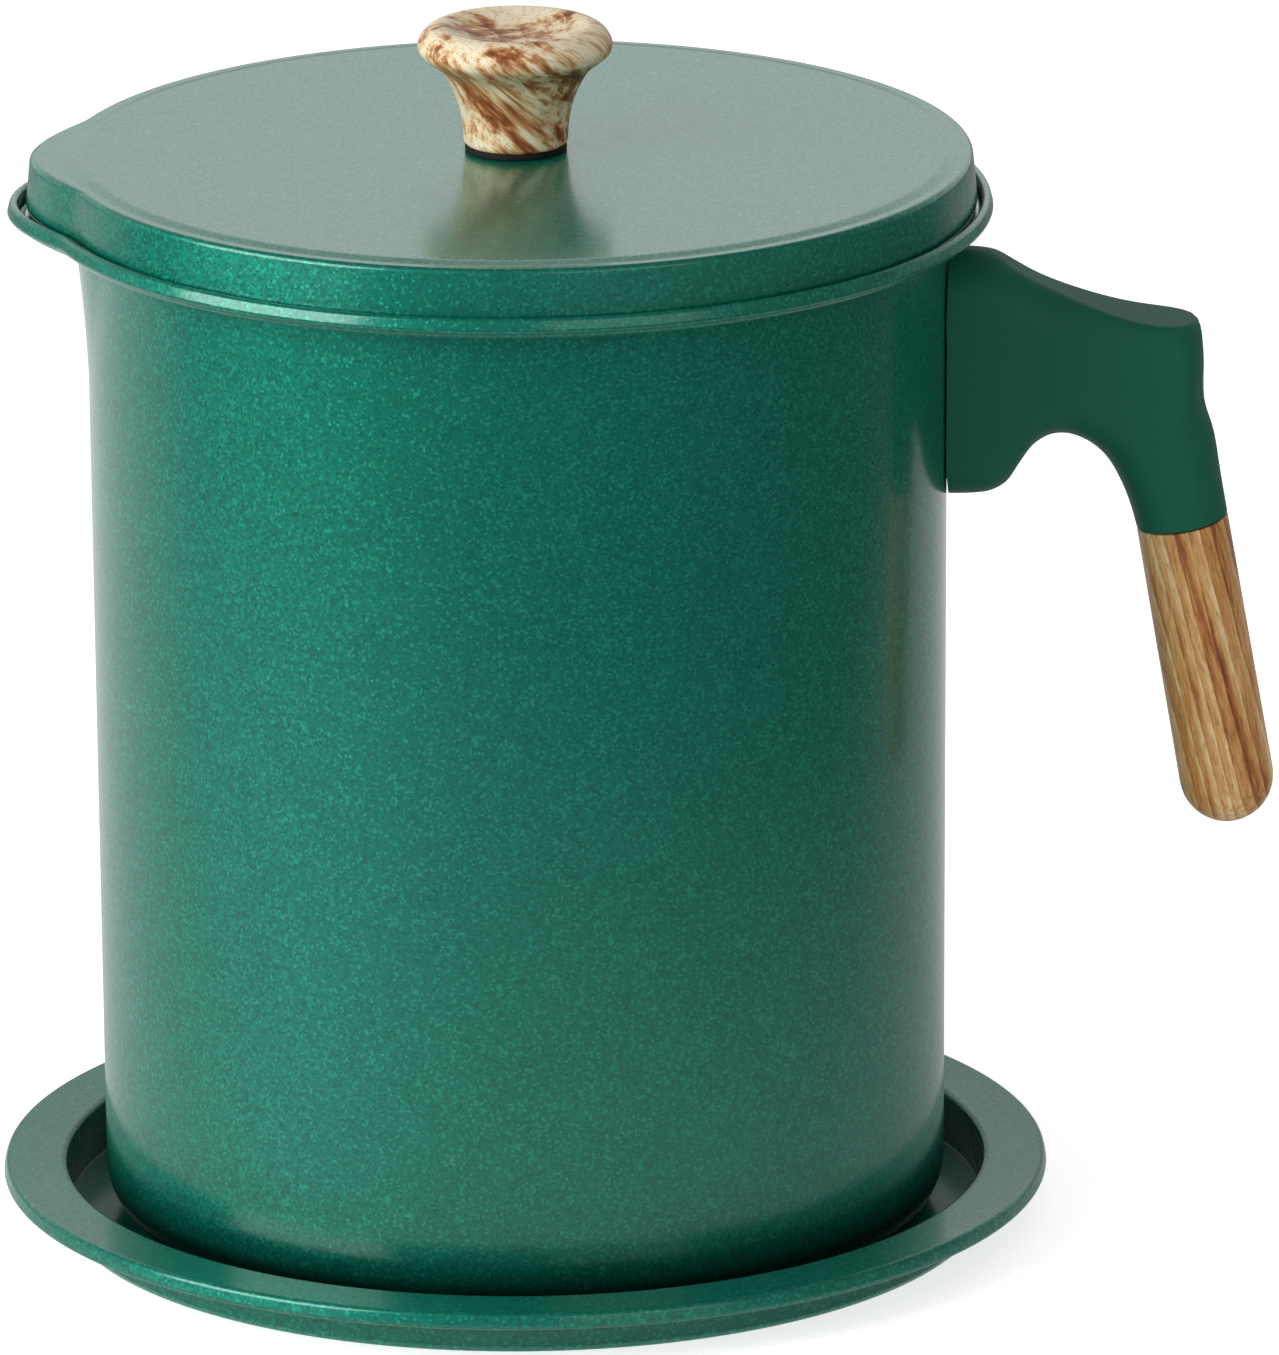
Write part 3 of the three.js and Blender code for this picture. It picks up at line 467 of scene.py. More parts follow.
def pushNose(piece, reach, shareAt, widthAt=lambda z: 1):
    # moves the vertices over the spout outwards, by a smooth hump round -X
    for vertex in piece.data.vertices:
        radius, z = math.hypot(vertex.co.x, vertex.co.y) / mm, vertex.co.z / mm
        away = math.degrees(math.atan2(abs(vertex.co.y), -vertex.co.x))
        half = spout["halfAngle"] * widthAt(z)
        if radius < 1 or away >= half:  # by the pot's axis, or beside the spout
            continue
        hump = math.cos(math.pi / 2 * away / half) ** spout["power"]
        grow = 1 + reach * hump * shareAt(radius, z) / radius
        vertex.co.x *= grow
        vertex.co.y *= grow


def clampShare(value):
    return min(max(value, 0), 1)


# In mm, as in every piece below. A lip's curl is how far it turns in, in radii of its roll.
tray = {
    "gauge": 0.8, "wallRadius": 74.1, "height": 9.5, "flange": 9.55, "lipWidth": 0.8, "lipDrop": 2.7,
    "lipRoll": 0.4, "lipCurl": 1.5, "corner": 1, "neck": 0.9, "fold": 0.5, "steps": 160,
}


def makeTray(size):
    half = size["gauge"] / 2
    wall = size["wallRadius"] - half
    flange = size["height"] - half
    fold = size["wallRadius"] - size["gauge"] + size["flange"]
    lip = fold + size["lipWidth"] - half
    lipEnd = size["height"] - size["lipDrop"] + half
    line = roundLine([
        (0, half), (wall, half, size["corner"] - half), (wall, flange, size["neck"]),
        (fold, flange, size["fold"]), (lip, lipEnd, size["lipRoll"]),
        (lip - size["lipCurl"] * size["lipRoll"], lipEnd),
    ])
    piece = turnPiece("dripTray", line, size["steps"])
    thicken(piece, size["gauge"])
    finishPiece(piece, "tray", "green_paint", "green_paint", "tray_pan")


makeTray(tray)
print("tray made")


# The throat is the wall's swelling below the spout. It grows with height, by a power of it.
pot = {
    "gauge": 0.7, "underside": 1.1, "footRadius": 67.05, "mouthRadius": 68, "ledgeZ": 164.3,
    "ledgeRadius": 73.45, "corner": 8, "flare": 1.6, "rimCorner": 0.9, "rimHeight": 3.2, "rimRoll": 0.34,
    "hemWidth": 1.85, "hemDrop": 2.5, "hemLean": 0.5, "hemRoll": 0.4, "hemCurl": 1.5,
    "throatHeight": 26, "throatShare": 0.4, "throatPower": 1.5, "throatFootWidth": 0.4, "throatRows": 20,
    "steps": 240,
}


def potRadiusAt(z):
    # the outside of the wall, which widens a little upwards
    climb = (z - pot["underside"]) / (pot["ledgeZ"] - pot["underside"])
    return pot["footRadius"] + (pot["mouthRadius"] - pot["footRadius"]) * climb


def makePot(size):
    half = size["gauge"] / 2
    floor = size["underside"] + half
    throatFoot = size["ledgeZ"] - size["throatHeight"]
    throatTop = size["ledgeZ"] - size["flare"] - size["gauge"]
    lip = size["ledgeRadius"] + half
    hem = size["ledgeRadius"] + size["hemWidth"] - half
    hemTop = size["ledgeZ"] + size["rimHeight"] - half
    hemFoot = size["ledgeZ"] + size["rimHeight"] - size["hemDrop"] + half
    rows = [throatFoot + (throatTop - throatFoot) * k / size["throatRows"]
            for k in range(size["throatRows"])]
    line = roundLine([
        (0, floor), (potRadiusAt(floor) - half, floor, size["corner"] - half),
        *[(potRadiusAt(z) - half, z) for z in rows],
        (potRadiusAt(size["ledgeZ"]) - half, size["ledgeZ"], size["flare"]),
        (lip, size["ledgeZ"], size["rimCorner"]),
        (lip, hemTop, size["rimRoll"]), (hem - size["hemLean"], hemTop, size["rimRoll"]),
        (hem, hemFoot, size["hemRoll"]), (hem - size["hemCurl"] * size["hemRoll"], hemFoot),
    ])
    piece = turnPiece("potBody", line, size["steps"])

    def climbAt(z):
        return clampShare((z - throatFoot) / size["throatHeight"])

    def throatAt(radius, z):
        outwards = clampShare((radius - size["mouthRadius"]) / (lip - size["mouthRadius"]))
        upwards = climbAt(z) ** size["throatPower"]
        return size["throatShare"] * upwards + (1 - size["throatShare"]) * outwards

    pushNose(piece, spout["reach"], throatAt,
             lambda z: size["throatFootWidth"] + (1 - size["throatFootWidth"]) * climbAt(z))
    thicken(piece, size["gauge"])
    finishPiece(piece, "pot", "green_paint", "green_paint", "pot_body")


makePot(pot)
print("pot made")


lid = {
    "gauge": 0.7, "footZ": 165.75, "height": 8.9, "skirtRadius": 72.8, "draft": 0.8, "panelRadius": 67.9,
    "edge": 0.9, "footRoll": 1.1, "footCurl": 1.25, "panelRise": 0.35, "panelSlope": 2, "panelRound": 5,
    "hole": 2.3, "steps": 240,
}


def makeLid(size):
    half = size["gauge"] / 2
    skirt = size["skirtRadius"] - half
    land = size["footZ"] + size["height"] - half
    panel = land + size["panelRise"]
    foot = size["footZ"] + half
    line = roundLine([
        (size["hole"], panel), (size["panelRadius"], panel, size["panelRound"]),
        (size["panelRadius"] + size["panelSlope"], land, size["panelRound"]),
        (skirt - size["draft"], land, size["edge"] - half), (skirt, foot, size["footRoll"]),
        (skirt - size["footCurl"] * size["footRoll"], foot),
    ])
    piece = turnPiece("lidShell", line, size["steps"])
    brow = skirt - size["draft"] - size["panelRadius"]
    pushNose(piece, spout["innerReach"],
             lambda radius, z: clampShare((radius - size["panelRadius"]) / brow))
    thicken(piece, size["gauge"])
    finishPiece(piece, "lid", "green_paint", "green_paint", "lid_shell")


makeLid(lid)
print("lid made")


knob = {
    "radius": 15.35, "height": 19.2, "z": 176, "boreRadius": 4, "boreTop": 187.5, "steps": 96,
    "perSpan": 5,
    # shares of the radius and the height, from the foot to the dish
    "outlineShares": [
        (0.5, 0), (0.528, 0.022), (0.54, 0.086), (0.551, 0.193), (0.575, 0.3), (0.613, 0.396),
        (0.665, 0.492), (0.73, 0.588), (0.821, 0.668), (0.919, 0.727), (0.984, 0.781), (1, 0.845),
        (0.964, 0.914), (0.886, 0.973), (0.769, 1), (0.619, 0.963), (0.39, 0.904), (0, 0.877),
    ],
    "gasketRadius": 8.05, "gasketZ": 175.05, "gasketThickness": 0.9, "gasketHole": 2.3,
    "gasketCorner": 0.25,
}


def makeKnob(size):
    outline = smoothLine([Vector((r * size["radius"], size["z"] + z * size["height"]))
                          for r, z in size["outlineShares"]], size["perSpan"])
    bore = roundLine([
        (0, size["boreTop"]), (size["boreRadius"], size["boreTop"]), (size["boreRadius"], size["z"]),
    ])
    piece = turnPiece("lidKnob", bore + outline, size["steps"])
    finishPiece(piece, "lid", "wood_print", "wood_knob", "lid_knob", smooth=50)

    low, high = size["gasketZ"], size["gasketZ"] + size["gasketThickness"]
    hole, edge, corner = size["gasketHole"], size["gasketRadius"], size["gasketCorner"]
    line = roundLine([(hole, low), (edge, low, corner), (edge, high, corner), (hole, high), (hole, low)])
    gasket = turnPiece("knobGasket", line, size["steps"])
    finishPiece(gasket, "lid", "black_rubber", "black_rubber", "knob_gasket")


makeKnob(knob)
print("knob made")


knobFixing = {
    "screwRadius": 2, "screwTop": 185.1, "tipChamfer": 0.8, "fillet": 0.2,
    "headSeat": 172.9, "headRadius": 3.9, "headHeight": 2.4, "headRound": 1.68,
    "recess": 4.2, "recessBlade": 0.95, "recessDepth": 1.5, "overcut": 1,
    "washerHole": 2.3, "washerRadius": 6, "washerZ": 173.2, "washerThickness": 0.8, "steps": 48,
}


def addBox(name, low, high):
    # a box between two corners in mm
    low, high = Vector(low) * mm, Vector(high) * mm
    return addShape(name, bpy.ops.mesh.primitive_cube_add, size=1, location=(low + high) / 2,
                    scale=high - low)


def cut(piece, tool, operation="DIFFERENCE"):
    modify(piece, "BOOLEAN", operation=operation, object=tool, solver="EXACT")
    bpy.data.objects.remove(tool)


def makeKnobFixing(size):
    head, tip, chamfer = size["headSeat"] - size["headHeight"], size["screwTop"], size["tipChamfer"]
    line = roundLine([
        (0, head), (size["headRadius"], head, size["headRound"]), (size["headRadius"], size["headSeat"]),
        (size["screwRadius"], size["headSeat"], size["fillet"]), (size["screwRadius"], tip - chamfer),
        (size["screwRadius"] - chamfer, tip), (0, tip),
    ])
    screw = turnPiece("knobScrew", line, size["steps"])
    long, thin = size["recess"] / 2, size["recessBlade"] / 2
    start, end = head - size["overcut"], head + size["recessDepth"]
    for x, y in ((long, thin), (thin, long)):
        cut(screw, addBox("recess", (-x, -y, start), (x, y, end)))
    finishPiece(screw, "lid", "zinc_steel", "zinc_steel", "knob_screw")

    low, high = size["washerZ"], size["washerZ"] + size["washerThickness"]
    hole, edge = size["washerHole"], size["washerRadius"]
    line = roundLine([(hole, low), (edge, low, size["fillet"]), (edge, high), (hole, high), (hole, low)])
    washer = turnPiece("knobScrewWasher", line, size["steps"])
    finishPiece(washer, "lid", "zinc_steel", "zinc_steel", "knob_screw_washer")


makeKnobFixing(knobFixing)
print("knob fixing made")


strainer = {
    "gauge": 0.5, "flangeZ": 165.2, "flangeRadius": 72.9, "mouthRadius": 66.25, "taper": 5, "depth": 31.5,
    "flare": 1.6, "corner": 2, "lipWidth": 5.5, "edge": 0.1, "steps": 192,
    "meshRadius": 60, "meshGap": 0.3, "meshThickness": 0.6, "wirePitch": 2, "wire": 0.28,
    "clampWidth": 3.2, "clampHeight": 1.2, "clampFootRound": 0.3, "clampTopRound": 0.5,
}


def makeStrainer(size):
    half = size["gauge"] / 2
    foot = size["mouthRadius"] - size["taper"]
    floor = size["flangeZ"] + half - size["depth"] + half
    line = roundLine([
        (foot - size["lipWidth"], floor), (foot, floor, size["corner"] - half),
        (size["mouthRadius"], size["flangeZ"], size["flare"]), (size["flangeRadius"], size["flangeZ"]),
    ])
    cup = turnPiece("strainerCup", line, size["steps"])
    pushNose(cup, spout["innerReach"], lambda radius, z: clampShare(
        (radius - size["mouthRadius"]) / (size["flangeRadius"] - size["mouthRadius"])))
    thicken(cup, size["gauge"], size["edge"])
    finishPiece(cup, "strainer", "stainless", "stainless", "strainer_cup")

    meshZ = floor + half + size["meshGap"] + size["meshThickness"] / 2
    makeMesh(size, meshZ)

    low = meshZ + size["meshThickness"] / 2 + size["meshGap"]
    high = low + size["clampHeight"]
    inner, outer = size["meshRadius"] - size["clampWidth"], size["meshRadius"]
    footRound, topRound = size["clampFootRound"], size["clampTopRound"]
    line = roundLine([
        ((inner + outer) / 2, low), (outer, low, footRound), (outer, high, topRound),
        (inner, high, topRound), (inner, low, footRound), ((inner + outer) / 2, low),
    ])
    clamp = turnPiece("strainerClampRing", line, size["steps"])
    finishPiece(clamp, "strainer", "stainless", "stainless", "strainer_clamp_ring")


def makeMesh(size, z):
    # woven wires, each bent over and under those that cross it, at a pitch coarse enough to show
    reach = size["meshRadius"] - size["wire"]
    bend = size["meshThickness"] / 2 - size["wire"] / 2
    count = int(reach / size["wirePitch"])
    weave = bpy.data.curves.new("strainerMesh", "CURVE")
    weave.dimensions = "3D"
    weave.bevel_depth = size["wire"] / 2 * mm
    weave.bevel_resolution = 0
    for across in (False, True):
        for i in range(-count, count + 1):
            off = i * size["wirePitch"]
            crossings = int(math.sqrt(reach**2 - off**2) / size["wirePitch"])
            wire = weave.splines.new("POLY")
            wire.points.add(2 * crossings)
            for j in range(-crossings, crossings + 1):
                side = 1 if (i + j + across) % 2 else -1
                along = j * size["wirePitch"]
                x, y = (along, off) if across else (off, along)
                wire.points[j + crossings].co = (x * mm, y * mm, (z + side * bend) * mm, 1)
    piece = bpy.data.objects.new("strainerMesh", weave)
    bpy.context.scene.collection.objects.link(piece)
    selectOnly(piece)
    bpy.ops.object.convert(target="MESH")
    finishPiece(bpy.context.object, "strainer", "stainless", "stainless", "strainer_mesh")


makeStrainer(strainer)
print("strainer made")


handle = {
    "wallGap": 0.3, "reach": 40.6, "heelZ": 118.4, "height": 39.8, "thickness": 17.6, "crown": 7.3,
    "perSpan": 4,
    # each section of the arm from the arch to the spine, in shares of its reach and height
    "sectionShares": [
        ((-0.05, 0), (-0.05, 1)), ((0.1, 0), (0.1, 1)), ((0.171, 0.011), (0.191, 0.985)),
        ((0.23, 0.047), (0.272, 0.941)), ((0.282, 0.126), (0.353, 0.896)), ((0.334, 0.198), (0.437, 0.861)),
        ((0.398, 0.238), (0.536, 0.832)), ((0.462, 0.243), (0.654, 0.809)), ((0.528, 0.22), (0.782, 0.795)),
        ((0.585, 0.181), (0.905, 0.77)), ((0.627, 0.134), (0.979, 0.696)), ((0.659, 0.079), (1, 0.569)),
        ((0.688, 0.015), (1.004, 0.371)), ((0.711, -0.047), (1.042, 0.235)),
        ((0.727, -0.101), (1.07, 0.057)),
    ],
    # the thumb rest's line, from the pot to past the arm's back
    "restShares": [
        (0.18, 0.995), (0.26, 0.935), (0.346, 0.881), (0.477, 0.819), (0.595, 0.772), (0.713, 0.735),
        (0.816, 0.715), (0.92, 0.705), (1.1, 0.705),
    ],
    "restEdge": 0.9, "restLeast": 16,  # degrees of the crown that the thumb rest takes at least
    "gripTopShares": (0.917, -0.12), "tilt": 9.6, "gripWidth": 14.6, "gripEndWidth": 15,
    "gripThickness": 17, "gripLength": 50.7,
    # how far along the grip and how far in its rounded top edge lies
    "gripEdge": [(0.3, 0.4), (0.42, 0.12), (0.7, 0)],
    "tenonInset": 3, "tenonLength": 22, "tenonTaper": 0.87, "socketInset": 2.5, "socketGap": 0.3,
    "screwZ": 136.9, "screwHole": 2.3, "plugX": 100.44, "plugRadius": 4.3, "plugGap": 0.3,
    # the bracket's saddle and stub, each by width and height, and the arm's web behind them
    "saddle": (12, 24), "stub": (10, 16), "bracketGauge": 1.2, "stubLength": 12, "web": 6.5,
    # where the tools that cut the arm start and end, and how far past its end a hole is cut
    "inside": 40, "outside": 140, "hollow": (80, 163), "overcut": 2,
}


def onArm(shares, size=handle):
    # the point (x, z) at these shares of the arm's reach and height
    wall = potRadiusAt(size["screwZ"])
    return Vector((wall + shares[0] * size["reach"], size["heelZ"] + shares[1] * size["height"]))


tilt = math.radians(handle["tilt"])
gripTop = onArm(handle["gripTopShares"])
gripAxis = Vector((math.sin(tilt), -math.cos(tilt)))
gripAcross = Vector((math.cos(tilt), math.sin(tilt)))


def armSection(inner, outer, half, crown, limit, edge, least):
    # a flat-sided section with elliptical ends, the outer one cut flat at the limit, its edge rounded
    sideSteps, crownSteps, heelSteps = 4, 8, 9
    along = (outer - inner).normalized()
    length = (outer - inner).length
    crown = min(crown, length / 2)

    def outerAt(y):
        return min(length - crown + crown * math.sqrt(max(1 - (y / half) ** 2, 0)), limit)

    share = min(max((limit - length + crown) / crown, 0), math.cos(math.radians(least)))
    corner = math.acos(share)
    cornerY = half * math.sin(corner)
    startAngle = corner + edge / crown
    startPoint = (length - crown + crown * math.cos(startAngle), half * math.sin(startAngle))
    edge = min(edge, cornerY * 0.35)  # a narrow flat takes a smaller edge
    endPoint = (outerAt(cornerY - edge), cornerY - edge)
    cornerPoint = (outerAt(cornerY), cornerY)
    side = [(crown + (length - 2 * crown) * k / sideSteps, half) for k in range(1, sideSteps)]
    angles = [math.pi / 2 + (startAngle - math.pi / 2) * k / crownSteps for k in range(crownSteps)]
    side += [(length - crown + crown * math.cos(a), half * math.sin(a)) for a in angles]
    for t in (0, 0.33, 0.67, 1):
        side.append(tuple(a * (1 - t) ** 2 + 2 * b * t * (1 - t) + c * t * t
                          for a, b, c in zip(startPoint, cornerPoint, endPoint)))
    side += [(outerAt(endPoint[1] * k), endPoint[1] * k) for k in (0.67, 0.33)]
    # from the side to the middle
    inside = [(crown - crown * math.cos(a), half * math.sin(a))
              for a in (math.radians(90 - 90 * k / heelSteps) for k in range(heelSteps))]
    upper = side + [(outerAt(0), 0)]
    lower = [(s, -y) for s, y in reversed(side)]
    heel = [(s, -y) for s, y in inside] + [(0, 0)] + list(reversed(inside))
    return [Vector((inner.x + along.x * s, y, inner.y + along.y * s)) for s, y in upper + lower + heel]


def loftPiece(name, sections):
    # a ring is drawn out once for each section, laid on the sections, and closed at both ends
    piece = addShape(name, bpy.ops.mesh.primitive_circle_add, vertices=len(sections[0]), radius=mm,
                     fill_type="NOTHING")
    bpy.ops.object.mode_set(mode="EDIT")
    bpy.ops.mesh.select_mode(type="VERT")
    bpy.ops.mesh.select_all(action="SELECT")
    for _ in sections[1:]:
        bpy.ops.mesh.extrude_region_move(TRANSFORM_OT_translate={"value": (0, 0, mm)})
    bpy.ops.object.mode_set(mode="OBJECT")
    for vertex, point in zip(piece.data.vertices, [point for section in sections for point in section]):
        vertex.co = point * mm
    bpy.ops.object.mode_set(mode="EDIT")
    bpy.ops.mesh.select_all(action="SELECT")
    bpy.ops.mesh.fill_holes(sides=0)
    bpy.ops.mesh.select_all(action="SELECT")
    bpy.ops.mesh.normals_make_consistent(inside=False)
    bpy.ops.object.mode_set(mode="OBJECT")
    return piece


def selectCap(piece, direction):
    # selects the one flat end face that looks this way, and stays in edit mode
    selectOnly(piece)
    bpy.ops.object.mode_set(mode="EDIT")
    bpy.ops.mesh.select_mode(type="FACE")
    bpy.ops.mesh.select_all(action="DESELECT")
    bpy.ops.object.mode_set(mode="OBJECT")
    caps = [face for face in piece.data.polygons if len(face.vertices) > 4]
    max(caps, key=lambda face: face.normal.dot(direction)).select = True
    bpy.ops.object.mode_set(mode="EDIT")


def makeArm(size):
    arch = [onArm(a) for a, _ in size["sectionShares"]] + [gripTop - gripAcross * size["gripWidth"] / 2]
    spine = [onArm(b) for _, b in size["sectionShares"]] + [gripTop + gripAcross * size["gripWidth"] / 2]
    inner, outer = smoothLine(arch, size["perSpan"]), smoothLine(spine, size["perSpan"])
    rest = smoothLine([onArm(shares) for shares in size["restShares"]], size["perSpan"])

    def restLimit(low, high):
        # how far along the section the thumb rest's line crosses it
        length = (high - low).length
        for a, b in zip(rest, rest[1:]):
            across, along = b - a, high - low
            turn = along.cross(across)
            if abs(turn) < 1e-9:  # parallel
                continue
            share, place = (a - low).cross(across) / turn, (a - low).cross(along) / turn
            if 0 <= place <= 1 and 0.3 < share < 1.2:  # near the section's outer end
                return share * length
        return length * 2

    count = len(inner) - 1
    sections = []
    for i, (low, high) in enumerate(zip(inner, outer)):
        thickness = size["thickness"] + (size["gripThickness"] - size["thickness"]) * i / count
        sections.append(armSection(low, high, thickness / 2, size["crown"], restLimit(low, high),
                                   size["restEdge"], size["restLeast"]))
    return loftPiece("handleArm", sections)


def addRod(name, radius, fromX, toX, z):
    # a rod along X, in mm
    return addShape(name, bpy.ops.mesh.primitive_cylinder_add, vertices=48, radius=radius * mm,
                    depth=(toX - fromX) * mm, location=((fromX + toX) / 2 * mm, 0, z * mm),
                    rotation=(0, math.pi / 2, 0))


def finishArm(size):
    arm = makeArm(size)
    z, wall = size["screwZ"], potRadiusAt(size["screwZ"])
    inside, outside = size["inside"], size["outside"]

    # the plug is cut from a copy of the arm, so that it lies flush with it
    selectOnly(arm)
    bpy.ops.object.duplicate()
    plug = bpy.context.object
    plug.name = "handleScrewPlug"
    cut(plug, addRod("plugRod", size["plugRadius"], size["plugX"], outside, z), "INTERSECT")
    finishPiece(plug, "pot", "green_moulding", "green_moulding", "handle_screw_plug")

    # tenon for the grip
    down = Vector((gripAxis.x, 0, gripAxis.y))
    selectCap(arm, down)
    bpy.ops.mesh.inset(thickness=size["tenonInset"] * mm)
    bpy.ops.mesh.extrude_region_move(TRANSFORM_OT_translate={"value": down * size["tenonLength"] * mm})
    tip = gripTop + gripAxis * size["tenonLength"]
    bpy.ops.transform.resize(value=(size["tenonTaper"],) * 3, center_override=(tip.x * mm, 0, tip.y * mm))
    bpy.ops.object.mode_set(mode="OBJECT")

    # sockets for the bracket, and the screw's hole from the back
    gap, gauge = size["wallGap"], size["bracketGauge"]
    saddleX = wall + gap + gauge
    stubX = saddleX + size["stubLength"]
    seatX = stubX + gap + size["web"]
    for key, reach in (("saddle", saddleX), ("stub", stubX)):
        wide, high = (side / 2 + gap for side in size[key])
        cut(arm, addBox(key + "Room", (inside, -wide, z - high), (reach + gap, wide, z + high)))
    cut(arm, addRod("screwRoom", size["screwHole"], wall, seatX + size["overcut"], z))
    cut(arm, addRod("headRoom", size["plugRadius"] + size["plugGap"], seatX, outside, z))

    # the hollow that fits the pot's wall
    low, high = size["hollow"]
    cut(arm, addShape("wallRoom", bpy.ops.mesh.primitive_cone_add, vertices=256,
                      radius1=(potRadiusAt(low) + gap) * mm, radius2=(potRadiusAt(high) + gap) * mm,
                      depth=(high - low) * mm, location=(0, 0, (low + high) / 2 * mm)))
    finishPiece(arm, "pot", "green_moulding", "green_moulding", "handle_arm")


def makeGrip(size):
    width, endWidth, thickness = size["gripWidth"], size["gripEndWidth"], size["gripThickness"]
    end = endWidth / 2
    straight, bend, around = 8, 12, 48  # steps along the shaft, along the rounded end, and round it
    # each row is how far along the grip it lies, its width and its thickness
    rows = [(along, width - less, thickness - less) for along, less in size["gripEdge"]]
    start = rows[-1][0]
    rows += [(start + (size["gripLength"] - end - start) * k / straight,
              width + (endWidth - width) * k / straight, thickness) for k in range(1, straight + 1)]
    for k in range(1, bend):
        angle = math.pi / 2 * k / bend
        rows.append((size["gripLength"] - end + end * math.sin(angle), endWidth * math.cos(angle),
                     thickness * math.cos(angle)))
    sections = []
    for along, wide, thick in rows:
        middle = gripTop + gripAxis * along
        ring = []
        for k in range(around):
            angle = math.tau * k / around
            spot = middle + gripAcross * wide / 2 * math.cos(angle)
            ring.append(Vector((spot.x, thick / 2 * math.sin(angle), spot.y)))
        sections.append(ring)
    grip = loftPiece("handleGrip", sections)
    down = Vector((gripAxis.x, 0, gripAxis.y))
    selectCap(grip, -down)
    bpy.ops.mesh.inset(thickness=size["socketInset"] * mm)
    depth = size["tenonLength"] + size["socketGap"]
    bpy.ops.mesh.extrude_region_move(TRANSFORM_OT_translate={"value": down * depth * mm})
    bpy.ops.object.mode_set(mode="OBJECT")
    finishPiece(grip, "pot", "wood_print", "wood_grip", "handle_grip")


finishArm(handle)
makeGrip(handle)
print("handle made")


# CAD nodes that keep their shape and only get a finish
hiddenFixings = {
    "knob_insert": "brass", "handle_bracket": "stainless", "handle_weld_nut": "zinc_steel",
    "handle_flat_washer": "zinc_steel", "handle_spring_washer": "zinc_steel", "handle_screw": "zinc_steel",
}
for node, finish in hiddenFixings.items():
    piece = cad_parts[node]
    piece.data.materials.clear()
    piece.data.materials.append(finishes[finish])


studio = {
    # in metres; the floor's glow shows to the camera and in gloss, and lights nothing
    "floorSize": 12, "floorColour": "#f4f4f4", "floorGlow": 0.7, "floorGloss": 0.5, "fill": 0.4,
    # the room that the gloss sees is white behind the object, and darkens above it and behind the camera
    "roomAxis": (0, 1, -0.6), "roomFrom": 0.1, "roomTo": 0.75, "darkRoom": 0.15,
    "cardBlack": "#050505",
    # Graded black cards that show only in the gloss, as a photographer's do. The share of black is
    # start + spread x distance from the pot + slope . place, less the relief behind it, up to the most.
    "cards": [
        {"name": "floorCard", "low": (-2.5, -4, 0.001), "high": (2.5, 1.5, 0.001), "start": 0.4,
         "spread": 1.15, "slope": (0.3, 0, 0), "relief": 1.55, "most": 0.93},
        {"name": "rearCard", "low": (-2.5, 0.65, 0), "high": (2.5, 0.65, 0.32), "start": 1.7,
         "spread": 0, "slope": (0, 0, -5.5), "relief": 0, "most": 0.65},
    ],
    # azimuth in degrees from the camera's side, left negative; elevation in degrees
    "lamps": [
        {"name": "keyLamp", "azimuth": -62, "elevation": 22, "distance": 1.2, "size": (1, 0.8),
         "watts": 12},
        {"name": "fillLamp", "azimuth": 25, "elevation": 20, "distance": 1.8, "size": (1.2, 1.2),
         "watts": 3},
    ],
    "aim": (0.02, 0, 0.1),
}


def addFloor(look):
    floor = addShape("studioFloor", bpy.ops.mesh.primitive_plane_add, size=look["floorSize"])
    material, tree = newMaterial("paperSweep")
    rays = addNode(tree, "ShaderNodeLightPath").outputs
    seen = addNode(tree, "ShaderNodeMath", {"operation": "ADD"},
                   {0: rays["Is Glossy Ray"], 1: rays["Is Transmission Ray"]})
    glow = addNode(tree, "ShaderNodeMath", {"operation": "MULTIPLY"},
                   {0: seen.outputs[0], 1: look["floorGloss"]})
    glow = addNode(tree, "ShaderNodeMath", {"operation": "MULTIPLY_ADD"},
                   {0: rays["Is Camera Ray"], 1: look["floorGlow"], 2: glow.outputs[0]})
    shader = addNode(tree, "ShaderNodeBsdfPrincipled", inputs={
        "Base Color": srgb(look["floorColour"]), "Roughness": 0.9, "Specular IOR Level": 0.1,
        "Emission Color": (1, 1, 1, 1), "Emission Strength": glow.outputs[0]})
    addNode(tree, "ShaderNodeOutputMaterial", inputs={"Surface": shader.outputs["BSDF"]})
    floor.data.materials.append(material)


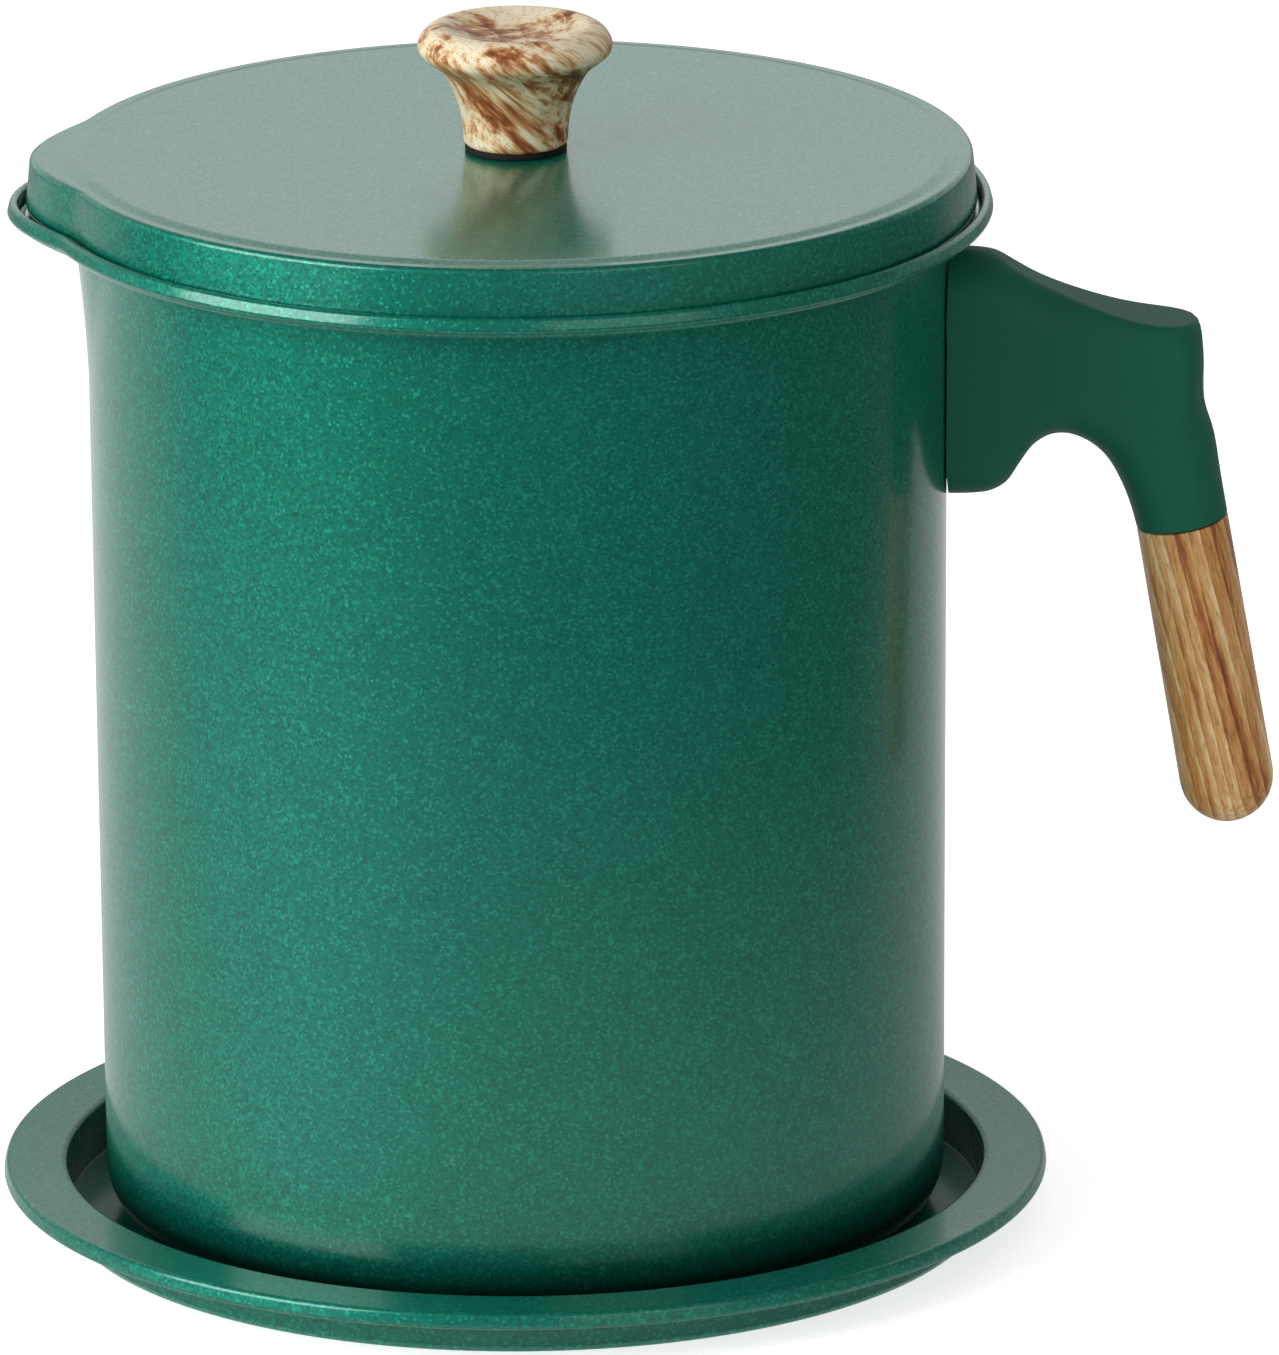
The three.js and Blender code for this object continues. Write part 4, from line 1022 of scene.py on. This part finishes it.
def addBlackCard(look, blackColour):
    low, high = Vector(look["low"]), Vector(look["high"])
    bpy.ops.object.select_all(action="DESELECT")
    bpy.ops.mesh.primitive_plane_add(size=1, location=(low + high) / 2)
    card = bpy.context.object
    card.name = look["name"]
    card.scale = (high.x - low.x, max(high.y - low.y, high.z - low.z), 1)
    if high.z > low.z:
        card.rotation_euler.x = math.pi / 2
    bpy.ops.object.transform_apply()
    for ray in ("camera", "diffuse", "shadow", "transmission"):
        setattr(card, "visible_" + ray, False)
    material, tree = newMaterial(look["name"] + "Black")
    where = addNode(tree, "ShaderNodeTexCoord").outputs["Object"]
    away = addNode(tree, "ShaderNodeVectorMath", {"operation": "LENGTH"}, {0: where}).outputs["Value"]
    along = addNode(tree, "ShaderNodeVectorMath", {"operation": "DOT_PRODUCT"},
                    {0: where, 1: look["slope"]})
    share = addNode(tree, "ShaderNodeMath", {"operation": "MULTIPLY_ADD"},
                    {0: away, 1: look["spread"], 2: along.outputs["Value"]})
    depth = addNode(tree, "ShaderNodeSeparateXYZ", inputs={"Vector": where}).outputs["Y"]
    behind = addNode(tree, "ShaderNodeMath", {"operation": "MAXIMUM"}, {0: depth, 1: 0})
    share = addNode(tree, "ShaderNodeMath", {"operation": "MULTIPLY_ADD"},
                    {0: behind.outputs[0], 1: -look["relief"], 2: share.outputs[0]})
    share = addNode(tree, "ShaderNodeMath", {"operation": "ADD", "use_clamp": True},
                    {0: share.outputs[0], 1: look["start"]})
    share = addNode(tree, "ShaderNodeMath", {"operation": "MINIMUM"},
                    {0: share.outputs[0], 1: look["most"]})
    clear = addNode(tree, "ShaderNodeBsdfTransparent")
    black = addNode(tree, "ShaderNodeBsdfDiffuse", inputs={"Color": srgb(blackColour)})
    both = addNode(tree, "ShaderNodeMixShader", inputs={
        0: share.outputs[0], 1: clear.outputs[0], 2: black.outputs[0]})
    addNode(tree, "ShaderNodeOutputMaterial", inputs={"Surface": both.outputs[0]})
    card.data.materials.append(material)


def addWorld(look):
    world = bpy.data.worlds.new("studioWorld")
    bpy.context.scene.world = world
    world.use_nodes = True
    tree = world.node_tree
    tree.nodes.clear()
    rays = addNode(tree, "ShaderNodeLightPath").outputs
    seen = addNode(tree, "ShaderNodeMath", {"operation": "ADD"},
                   {0: rays["Is Camera Ray"], 1: rays["Is Glossy Ray"]})
    seen = addNode(tree, "ShaderNodeMath", {"operation": "ADD", "use_clamp": True},
                   {0: seen.outputs[0], 1: rays["Is Transmission Ray"]})
    fill = addNode(tree, "ShaderNodeBackground", inputs={"Color": (1, 1, 1, 1), "Strength": look["fill"]})
    # the backdrop is white to the camera, and the gloss sees the room
    towards = addNode(tree, "ShaderNodeTexCoord").outputs["Generated"]
    depth = addNode(tree, "ShaderNodeVectorMath", {"operation": "DOT_PRODUCT"},
                    {0: towards, 1: look["roomAxis"]})
    room = addNode(tree, "ShaderNodeMapRange", inputs={
        "Value": depth.outputs["Value"], "From Min": look["roomFrom"], "From Max": look["roomTo"],
        "To Min": look["darkRoom"], "To Max": 1})
    bright = addNode(tree, "ShaderNodeMath", {"operation": "MAXIMUM"},
                     {0: rays["Is Camera Ray"], 1: room.outputs["Result"]})
    white = addNode(tree, "ShaderNodeBackground",
                    inputs={"Color": (1, 1, 1, 1), "Strength": bright.outputs[0]})
    both = addNode(tree, "ShaderNodeMixShader", inputs={
        0: seen.outputs[0], 1: fill.outputs[0], 2: white.outputs[0]})
    addNode(tree, "ShaderNodeOutputWorld", inputs={"Surface": both.outputs[0]})


def addLamps(look):
    aim = Vector(look["aim"])
    for lamp in look["lamps"]:
        side, lift = math.radians(lamp["azimuth"]), math.radians(lamp["elevation"])
        away = Vector((math.sin(side) * math.cos(lift), -math.cos(side) * math.cos(lift), math.sin(lift)))
        bpy.ops.object.light_add(type="AREA", location=aim + away * lamp["distance"],
                                 rotation=away.to_track_quat("Z", "Y").to_euler())
        light = bpy.context.object
        light.name = lamp["name"]
        light.data.shape = "RECTANGLE"
        light.data.size, light.data.size_y = lamp["size"]
        light.data.energy = lamp["watts"]


addFloor(studio)
for card in studio["cards"]:
    addBlackCard(card, studio["cardBlack"])
addWorld(studio)
addLamps(studio)
bpy.context.scene.view_settings.view_transform = "Standard"
print("studio lit")
